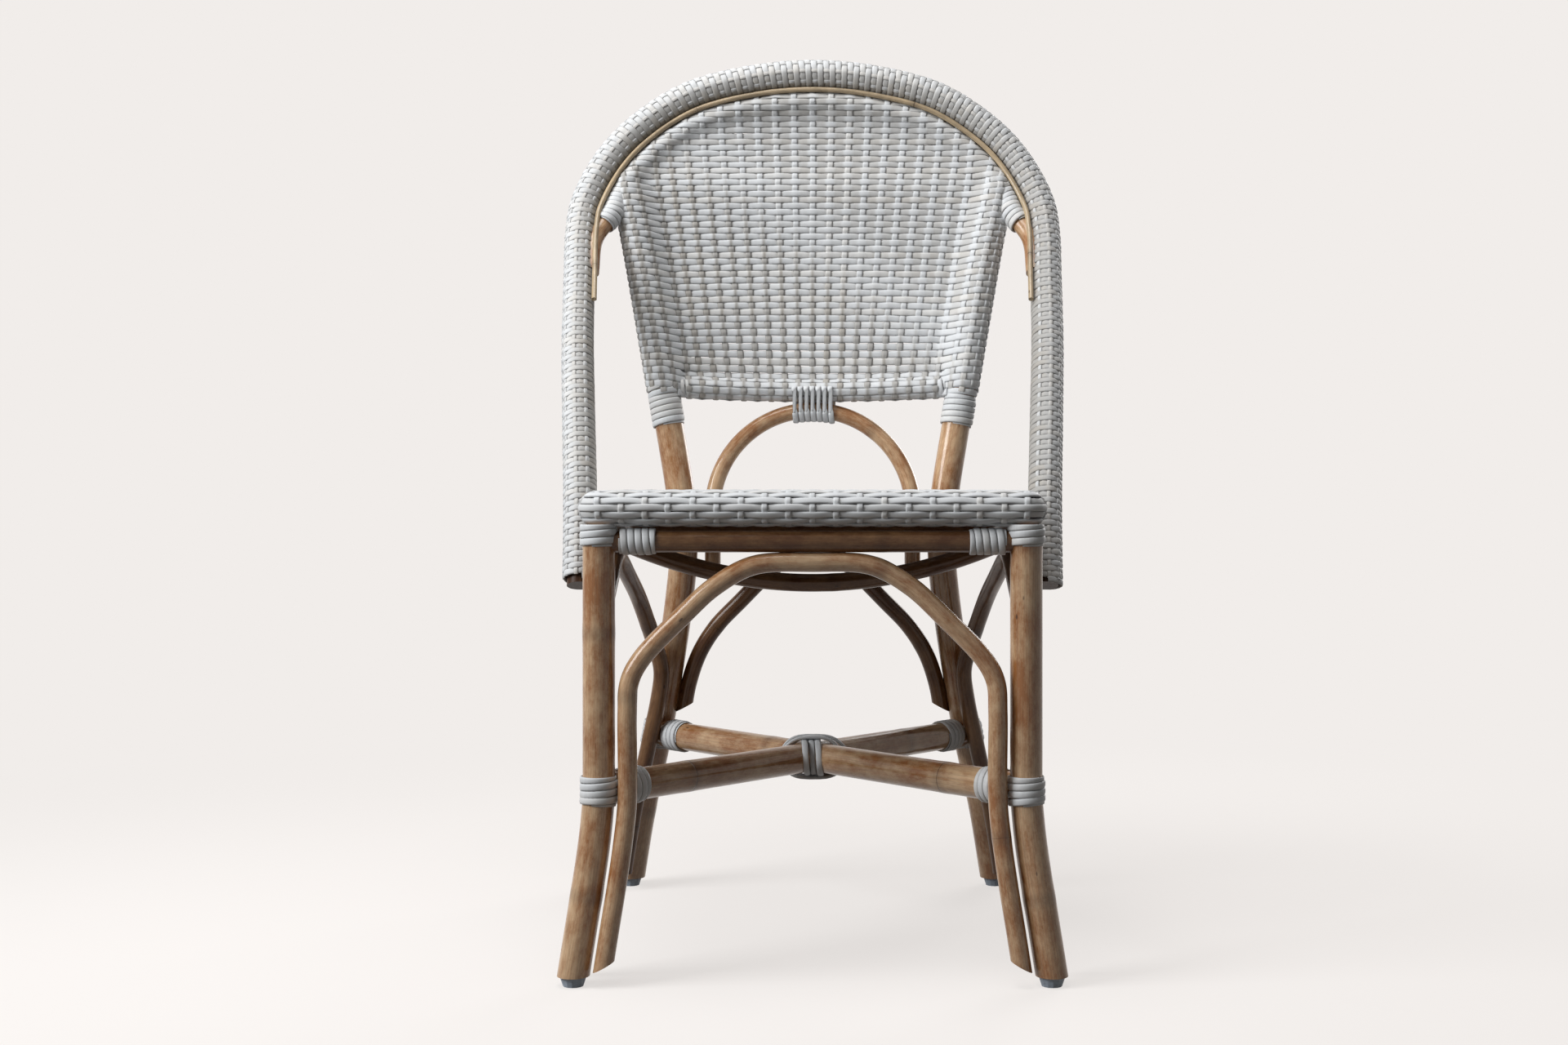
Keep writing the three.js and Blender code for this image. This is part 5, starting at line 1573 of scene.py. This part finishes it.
class CHAIR_OT_seat_weave(Operator):
    """Rows from side to side and warps from front to back, rolled over the seat's edge"""
    bl_idname = "chair.seat_weave"
    bl_label = "Seat weave"

    row_steps = 5
    warp_steps = 4
    warp_sway = 0.0003
    rows_per_sway = 6
    row_width_share = 0.95
    row_thickness_share = 1.4

    def execute(self, context):
        plan = Plan(context.scene)
        weave, sheet = plan.weave, SeatSheet(plan)
        self.chance = np.random.default_rng(context.scene.chair_studio.seed + 1)
        warp_count = int((sheet.half + sheet.limit) / weave.seat_warp_pitch)
        warps = np.arange(-warp_count - 1, warp_count + 2) * weave.seat_warp_pitch
        rows = np.arange(-sheet.limit, sheet.reach + sheet.limit, weave.seat_row_pitch)
        rows = np.concatenate([[rows[0] - weave.seat_row_pitch], rows, [rows[-1] + weave.seat_row_pitch]])
        thick = weave.strand_thickness
        row_strands = self.row_strands(sheet, rows, warps)
        warp_strands = self.warp_strands(sheet, rows, warps)
        add_strands("seat_rows", "seat_weave", row_strands, weave.seat_row_pitch * self.row_width_share,
                    thick * self.row_thickness_share)
        add_strands("seat_warps", "seat_weave", warp_strands, weave.warp_width, thick)
        return {"FINISHED"}

    def row_strands(self, sheet, rows, warps):
        chance, strands = self.chance, []
        across = np.linspace(warps[0], warps[-1], (len(warps) - 1) * self.row_steps + 1)
        for number, row in enumerate(rows):
            heights = alternating(np.arange(len(warps)) + number, sheet.weave.strand_thickness / 2)
            if row >= 0:
                sway = np.interp(across, warps, chance.normal(0, sheet.row_sway, len(warps)))
                points = np.column_stack([across, row + sway])
                strands += sheet.strands(points, eased(warps, heights, across), chance.uniform(0, 1))
            elif row > -sheet.limit:
                strands.append(sheet.front_row(row, warps, heights, chance))
        return strands

    def warp_strands(self, sheet, rows, warps):
        chance, strands = self.chance, []
        along = np.linspace(rows[0], rows[-1], (len(rows) - 1) * self.warp_steps + 1)
        sway_rows = rows[::self.rows_per_sway]
        for index, warp in enumerate(warps):
            heights = alternating(np.arange(len(rows)) + index + 1, sheet.weave.strand_thickness / 2)
            sway = np.interp(along, sway_rows, chance.normal(0, self.warp_sway, len(sway_rows)))
            points = np.column_stack([warp + sway, along])
            lifts = eased(rows, heights, along)
            if abs(warp) > sheet.half:
                points, lifts = points[along > sheet.front_corner], lifts[along > sheet.front_corner]
            strands += sheet.strands(points, lifts, chance.uniform(0, 1))
        return strands


class CHAIR_OT_back_weave(Operator):
    """Rows and fanned warps of the panel, rolled over the posts, the arch and the rail"""
    bl_idname = "chair.back_weave"
    bl_label = "Back weave"

    outer_line = 19
    rows_above = 0.09
    rows_below = 0.07
    row_steps = 6
    warp_steps = 4
    row_sway = 0.0002
    warp_sway = 0.0003
    rows_per_sway = 5
    # Shares of the painted shade beside and between the warps
    near_share = 0.6
    open_shade_share = 0.66
    lit_shade_share = 0.95
    warp_shade_share = 0.85
    flatness_share = 0.8
    bend_share = 0.4
    warp_lift_share = 0.6
    roll_start_share = 0.6
    row_width_share = 1.01
    row_thickness_share = 1.2
    warp_width_share = 1.2
    # Where the painted light from behind lies on the panel
    lit_slope_share = 0.8
    lit_below = 0.66
    dark_above = 0.82
    post_turns = 2
    post_turn_raise = 0.002
    rail_inset_share = 0.72

    def execute(self, context):
        plan = Plan(context.scene)
        weave, sheet = plan.weave, BackSheet(plan)
        self.chance = np.random.default_rng(context.scene.chair_studio.seed + 2)
        rows = self.row_heights(sheet)
        lines = range(-self.outer_line, self.outer_line + 1)
        row_strands = self.row_strands(sheet, rows, lines)
        warp_strands = self.warp_strands(sheet, rows, lines)
        for sign in SIGNS.values():
            row_strands += self.windings(plan, sheet, sign)
        thick = weave.strand_thickness
        row_width = weave.back_row_top_pitch * self.row_width_share
        warp_width = weave.warp_width * self.warp_width_share
        add_strands("back_rows", "back_weave", row_strands, row_width, thick * self.row_thickness_share)
        add_strands("back_warps", "back_weave", warp_strands, warp_width, thick)
        return {"FINISHED"}

    def row_heights(self, sheet):
        weave = sheet.weave
        rows = [sheet.rail_height]
        while rows[-1] < sheet.top + self.rows_above:
            share = min(1, (rows[-1] - sheet.rail_height) / (sheet.top - sheet.rail_height))
            rows.append(rows[-1] + lerp(weave.back_row_foot_pitch, weave.back_row_top_pitch, share))
        while rows[0] > sheet.rail_height - self.rows_below:
            rows.insert(0, rows[0] - weave.back_row_foot_pitch)
        return np.array(rows)

    def row_strands(self, sheet, rows, lines):
        weave, chance, strands = sheet.weave, self.chance, []
        least_size = weave.back_row_foot_pitch / weave.back_row_top_pitch
        for number, row in enumerate(rows):
            places = np.array([float(sheet.warp_across(index, row)) for index in lines])
            heights = alternating([index + number for index in lines], weave.strand_thickness / 2)
            across = subdivided(places, self.row_steps)
            sway = np.interp(across, places, chance.normal(0, self.row_sway, len(places)))
            points = np.column_stack([across, row + sheet.crown(across, row) + sway])
            size = float(np.interp(row, [sheet.rail_height, sheet.top], [least_size, 1]))
            beside = np.min(np.abs(across[:, None] - places[None]), axis=1)
            near = np.exp(-(beside / (weave.warp_width * self.near_share)) ** 2)
            # Painted shade: where lit from behind, dark columns at the warps; higher up, darker between the
            # warps
            shade = lerp(self.open_shade_share * (1 - near), self.lit_shade_share * near,
                         self.backlit(across, row))
            lifts = lerp(eased(places, heights, across), self.level_between(places, heights, across),
                         self.flatness_share)
            strands += self.row_parts(sheet, points, lifts, shade, size)
        return strands

    def row_parts(self, sheet, points, lifts, shade, size):
        """A whole row above the rail's lowest place, and only what is on the rail below it"""
        tone = self.chance.uniform(0, 1)
        lowest = sheet.rail_height - sheet.plan.poles.back_rail_sag - sheet.rail_margin
        if points[len(points) // 2, 1] > lowest:
            return sheet.strands(points, lifts, tone, size, shade)
        place, inside = sheet.outline.foot(points)
        on_rail = inside > sheet.outline.at(sheet.outline.radii, place) * self.roll_start_share
        return sheet.strands(points[on_rail], lifts[on_rail], tone, size, shade[on_rail])

    def backlit(self, across, heights):
        """Full where light from behind, painted as darker columns at the warps, shows through between them,
        low and towards the left
        """
        return 1 - easing(self.lit_slope_share * across + heights, self.lit_below, self.dark_above)

    def level_between(self, places, heights, across):
        """Raised and lowered only close to each warp"""
        nearest = np.argmin(np.abs(across[:, None] - places[None]), axis=1)
        spacing = np.gradient(places)[nearest]
        reach = np.clip(np.abs(across - places[nearest]) / (self.bend_share * spacing), 0, 1)
        return np.array(heights)[nearest] * (1 + np.cos(math.pi * reach)) / 2

    def warp_strands(self, sheet, rows, lines):
        chance, strands = self.chance, []
        along = subdivided(rows, self.warp_steps)
        sway_rows = rows[::self.rows_per_sway]
        for index in lines:
            across = sheet.warp_across(index, along)
            number = np.interp(along - sheet.crown(across, along), rows, np.arange(len(rows)))
            lifts = np.cos(math.pi * (number + index)) * sheet.weave.strand_thickness * self.warp_lift_share
            sway = np.interp(along, sway_rows, chance.normal(0, self.warp_sway, len(sway_rows)))
            points = np.column_stack([across + sway, along])
            # Painted shade on the warps where the panel is lit from behind
            strands += sheet.strands(points, lifts, chance.uniform(0, 1),
                                     shade=self.warp_shade_share * self.backlit(across, along))
        return strands

    def windings(self, plan, sheet, sign):
        """The turns at the panel's corner: round the post's foot, the rail's end and the arch's foot"""
        poles, weave = plan.poles, plan.weave
        thick = weave.strand_thickness
        low_pitch, top_pitch = weave.back_row_foot_pitch, weave.back_row_top_pitch
        post, arch = plan.sided(plan.post, sign), plan.sided(plan.arch, sign)
        inset = poles.post_diameter * self.rail_inset_share
        rail_start = inset if sign * plan.rail.points[0][0] > 0 else plan.rail.length - inset - low_pitch
        arch_start = arch.distance_at_height(poles.arch_wrap_foot)
        arch_turns = int((arch.distance_at_height(poles.post_top) - arch_start) / top_pitch) + 1
        post_start = post.distance_at_height(plan.panel_low) + self.post_turn_raise
        rail_radius = weave.rail_woven_diameter / 2 - thick * self.row_thickness_share
        wound = (
            (post, weave.post_woven_diameter / 2 - thick, post_start, self.post_turns, low_pitch),
            (plan.rail, rail_radius, rail_start, 1, low_pitch),
            (arch, poles.arch_woven_diameter / 2 - thick, arch_start, arch_turns, top_pitch),
        )
        return [winding(*values, thick, self.chance) for values in wound]


class CHAIR_OT_bindings(Operator):
    """Strands wound round the joints, and the lashings of the crossing"""
    bl_idname = "chair.bindings"
    bl_label = "Bindings"

    leg_top_turns = 2
    leg_turns = 3
    post_turns = 4
    beam_turns = 3
    apron_turns = 4
    arch_turns = 7
    lashing_turns = 3
    leg_top_raise = 0.0025
    beam_inset = 0.024
    arch_clearance = 0.0007
    arch_level_share = 0.12
    arch_tuck_degrees = (4, 42)
    lashing_start_share = 1 / 24
    lashing_steepness = 6

    def execute(self, context):
        self.plan = plan = Plan(context.scene)
        self.chance = np.random.default_rng(context.scene.chair_studio.seed + 3)
        poles = plan.poles
        middle = poles.stretcher_height - self.span(self.leg_turns) / 2
        for side, sign in SIGNS.items():
            leg, post = plan.sided(plan.leg, sign), plan.sided(plan.post, sign)
            beam, apron = plan.stretcher(sign), plan.crosswise_line(sign * poles.leg_reach, plan.apron_height)
            leg_top = leg.distance_at_height(plan.seat_underside - plan.gap) - self.span(self.leg_top_turns)
            post_top = post.distance_at_height(plan.panel_low) - self.span(self.post_turns)
            beam_end = beam.length - self.beam_inset - self.span(self.beam_turns)
            apron_start = poles.leg_diameter / 2 + plan.strand_rise + 2 * plan.gap
            bands = (
                ("leg_top", leg, poles.leg_diameter, leg_top + self.leg_top_raise, self.leg_top_turns),
                ("leg", leg, poles.leg_diameter, leg.distance_at_height(middle), self.leg_turns),
                ("rear_leg", post, poles.post_diameter, post.distance_at_height(middle), self.leg_turns),
                ("post", post, poles.post_diameter, post_top, self.post_turns),
                ("stretcher_front", beam, poles.stretcher_diameter, self.beam_inset, self.beam_turns),
                ("stretcher_rear", beam, poles.stretcher_diameter, beam_end, self.beam_turns),
                ("apron", apron, poles.apron_diameter, apron_start, self.apron_turns),
            )
            for name, *values in bands:
                self.bind(f"band_{name}_{side}", *values)
        self.bind_lower_arch(self.arch_turns)
        self.lash_crossing(self.lashing_turns)
        return {"FINISHED"}

    def span(self, turns):
        return turns * self.plan.weave.binding_pitch + self.plan.weave.binding_width

    def bind(self, name, line, diameter, start, turns):
        weave = self.plan.weave
        flat = weave.wound_thickness
        radius = diameter / 2 + self.plan.gap + flat / 2
        strand = winding(line, radius, start + weave.binding_width / 2, turns, weave.binding_pitch, flat,
                         self.chance)
        add_strands(f"bound_{name}", name, [strand], weave.binding_width, flat)

    def bind_lower_arch(self, turns):
        """Round the rail and the arch under it, flat between the two and tucked in where they touch"""
        plan, poles, weave = self.plan, self.plan.poles, self.plan.weave
        thick = weave.binding_thickness
        turn = np.linspace(0, turns, turns * LASHING_STEPS + 1)
        share = turn % 1
        across = (turn - turns / 2) * weave.binding_pitch
        radius_up = weave.rail_woven_diameter / 2 + plan.gap + thick / 2
        radius_down = poles.lower_arch_diameter / 2 + plan.gap + thick / 2 + self.arch_clearance
        low = plan.arch_top - poles.lower_arch_radius + np.sqrt(poles.lower_arch_radius ** 2 - across ** 2)
        up = share < 0.5
        bend = np.where(up, share, share - 0.5) * 2 * math.pi
        level = self.arch_level_share
        bend = np.clip((bend - level * math.pi) / (1 - 2 * level), 0, math.pi)
        out_y, out_z = (np.where(up, way, -way) for way in (np.cos(bend), np.sin(bend)))
        steep = np.degrees(np.minimum(bend, math.pi - bend))
        buried = (poles.back_rail_diameter + thick) / 2
        radius = np.where(up, lerp(radius_up, buried, easing(steep, *self.arch_tuck_degrees)), radius_down)
        centre = np.where(up, plan.rail_middle[2], low)
        spots = np.column_stack([across, plan.rail_middle[1] + out_y * radius, centre + out_z * radius])
        out = np.column_stack([np.zeros_like(across), out_y, out_z])
        tone = np.interp(turn, np.arange(turns + 2), self.chance.uniform(0, 1, turns + 2))
        strand = {"spots": spots, "out": out, "tone": tone}
        add_strands("bound_lower_arch", "band_lower_arch", [strand], weave.binding_width, thick)

    def lash_crossing(self, turns):
        """Round both stretchers where they cross, one lashing over the other"""
        plan, weave = self.plan, self.plan.weave
        thick, radius = weave.binding_thickness, plan.poles.stretcher_diameter / 2
        crossing, along = plan.crossing()
        slant = math.asin(abs(along[0]))
        upwards = np.array((0, 0, 1))
        lashings = (("front", np.array((0, 1, 0)), slant, 0),
                    ("side", np.array((1, 0, 0)), math.pi / 2 - slant, plan.strand_rise + plan.gap))
        turn = np.linspace(0, turns, turns * LASHING_STEPS + 1) + self.lashing_start_share
        bend = turn * 2 * math.pi
        offset = (turn - turns / 2) * weave.binding_pitch
        for name, way, slant, lift in lashings:
            rise = plan.gap + thick / 2 + lift
            spread = np.tanh(self.lashing_steepness * np.cos(bend)) * np.abs(offset) / math.tan(slant)
            reach = spread + (radius / math.sin(slant) + rise) * np.cos(bend)
            beside = np.array((way[1], -way[0], 0))
            spots = crossing + way * reach[:, None] + beside * offset[:, None]
            spots = spots + upwards * ((radius + rise) * np.sin(bend))[:, None]
            out = around(way, upwards, bend)
            strand = {"spots": spots, "out": out, "tone": self.chance.uniform(0, 1)}
            add_strands(f"lashed_{name}", f"lashing_cross_{name}", [strand], weave.binding_width, thick)


class CHAIR_OT_finishes(Operator):
    """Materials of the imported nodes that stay"""
    bl_idname = "chair.finishes"
    bl_label = "Finishes"

    def execute(self, context):
        for node in ("glide_front", "glide_rear"):
            for side in SIGNS:
                mesh = frame["nodes"][f"{node}_{side}"].data
                mesh.materials.clear()
                mesh.materials.append(glide_material())
        return {"FINISHED"}


class CHAIR_OT_studio(Operator):
    """Floor, sky light, lamps and camera"""
    bl_idname = "chair.studio"
    bl_label = "Studio"

    def execute(self, context):
        scene = context.scene
        studio = scene.chair_studio
        half = studio.floor_size / 2
        corners = [(-half, -half, 0), (half, -half, 0), (half, half, 0), (-half, half, 0)]
        mesh = bpy.data.meshes.new("floor")
        mesh.from_pydata(corners, [], [range(len(corners))])
        floor = add_object("floor", mesh, floor_material())
        self.sky(scene, studio)
        for name, lamp in LAMPS.items():
            self.lamp(name, getattr(studio, f"{name}_power"), **lamp)
        self.camera(scene, studio)
        scene.view_settings.view_transform = "Standard"
        return {"FINISHED"}

    def sky(self, scene, studio):
        """Weak light all round, behind which the plain background shows"""
        scene.world = bpy.data.worlds.new("Studio sky")
        scene.world.use_nodes = True
        tree = scene.world.node_tree
        sky = tree.nodes["Background"]
        fill_all(tree, sky, {"Color": SKY_TINT, "Strength": studio.world_strength})
        plain = new_node(tree, "ShaderNodeBackground", Color=scene.chair_colours.floor, Strength=1)
        shown = new_node(tree, "ShaderNodeMixShader", seen_rays(tree), sky, plain)
        fill(tree, tree.nodes["World Output"].inputs["Surface"], shown)

    def lamp(self, name, power, spot, target, size, tint):
        light = bpy.data.lights.new(name, "AREA")
        light.size, light.energy, light.color = size, power, tint
        lamp = add_object(name, light)
        lamp.location = spot
        way = np.array(target, float) - spot
        lamp.rotation_euler = (math.acos(-way[2] / np.linalg.norm(way)), 0,
                               math.atan2(way[0], -way[1]) + math.pi)

    def camera(self, scene, studio):
        lens = bpy.data.cameras.new("camera")
        lens.lens, lens.sensor_width = studio.lens, SENSOR_WIDTH
        lens.shift_x, lens.shift_y = studio.shift_across, studio.shift_up
        scene.camera = add_object("camera", lens)
        scene.camera.location = (0, front_line() - studio.camera_distance, studio.camera_height)
        scene.camera.rotation_euler = (math.pi / 2, 0, 0)


BUILDERS = (
    CHAIR_OT_studio, CHAIR_OT_uprights, CHAIR_OT_under_seat, CHAIR_OT_bows, CHAIR_OT_back_poles,
    CHAIR_OT_hoop_weave, CHAIR_OT_seat_weave, CHAIR_OT_back_weave, CHAIR_OT_bindings, CHAIR_OT_finishes,
)


class CHAIR_PT_panel(Panel):
    """The chair's builders in the sidebar"""
    bl_idname = "CHAIR_PT_panel"
    bl_label = "Woven side chair"
    bl_space_type = "VIEW_3D"
    bl_region_type = "UI"
    bl_category = "Chair"

    def draw(self, context):
        for builder in BUILDERS:
            self.layout.operator(builder.bl_idname)


GROUPS = {"chair_poles": ChairPoles, "chair_weave": ChairWeave, "chair_colours": ChairColours,
          "chair_studio": ChairStudio}


def register():
    for kind in (*GROUPS.values(), *BUILDERS, CHAIR_PT_panel):
        bpy.utils.register_class(kind)
    for name, kind in GROUPS.items():
        setattr(bpy.types.Scene, name, PointerProperty(type=kind))


def unregister():
    for name in GROUPS:
        delattr(bpy.types.Scene, name)
    for kind in (CHAIR_PT_panel, *BUILDERS[::-1], *GROUPS.values()):
        bpy.utils.unregister_class(kind)


def main():
    register()
    for builder in BUILDERS:
        group, name = builder.bl_idname.split(".")
        getattr(getattr(bpy.ops, group), name)()


if __name__ == "__main__":
    main()
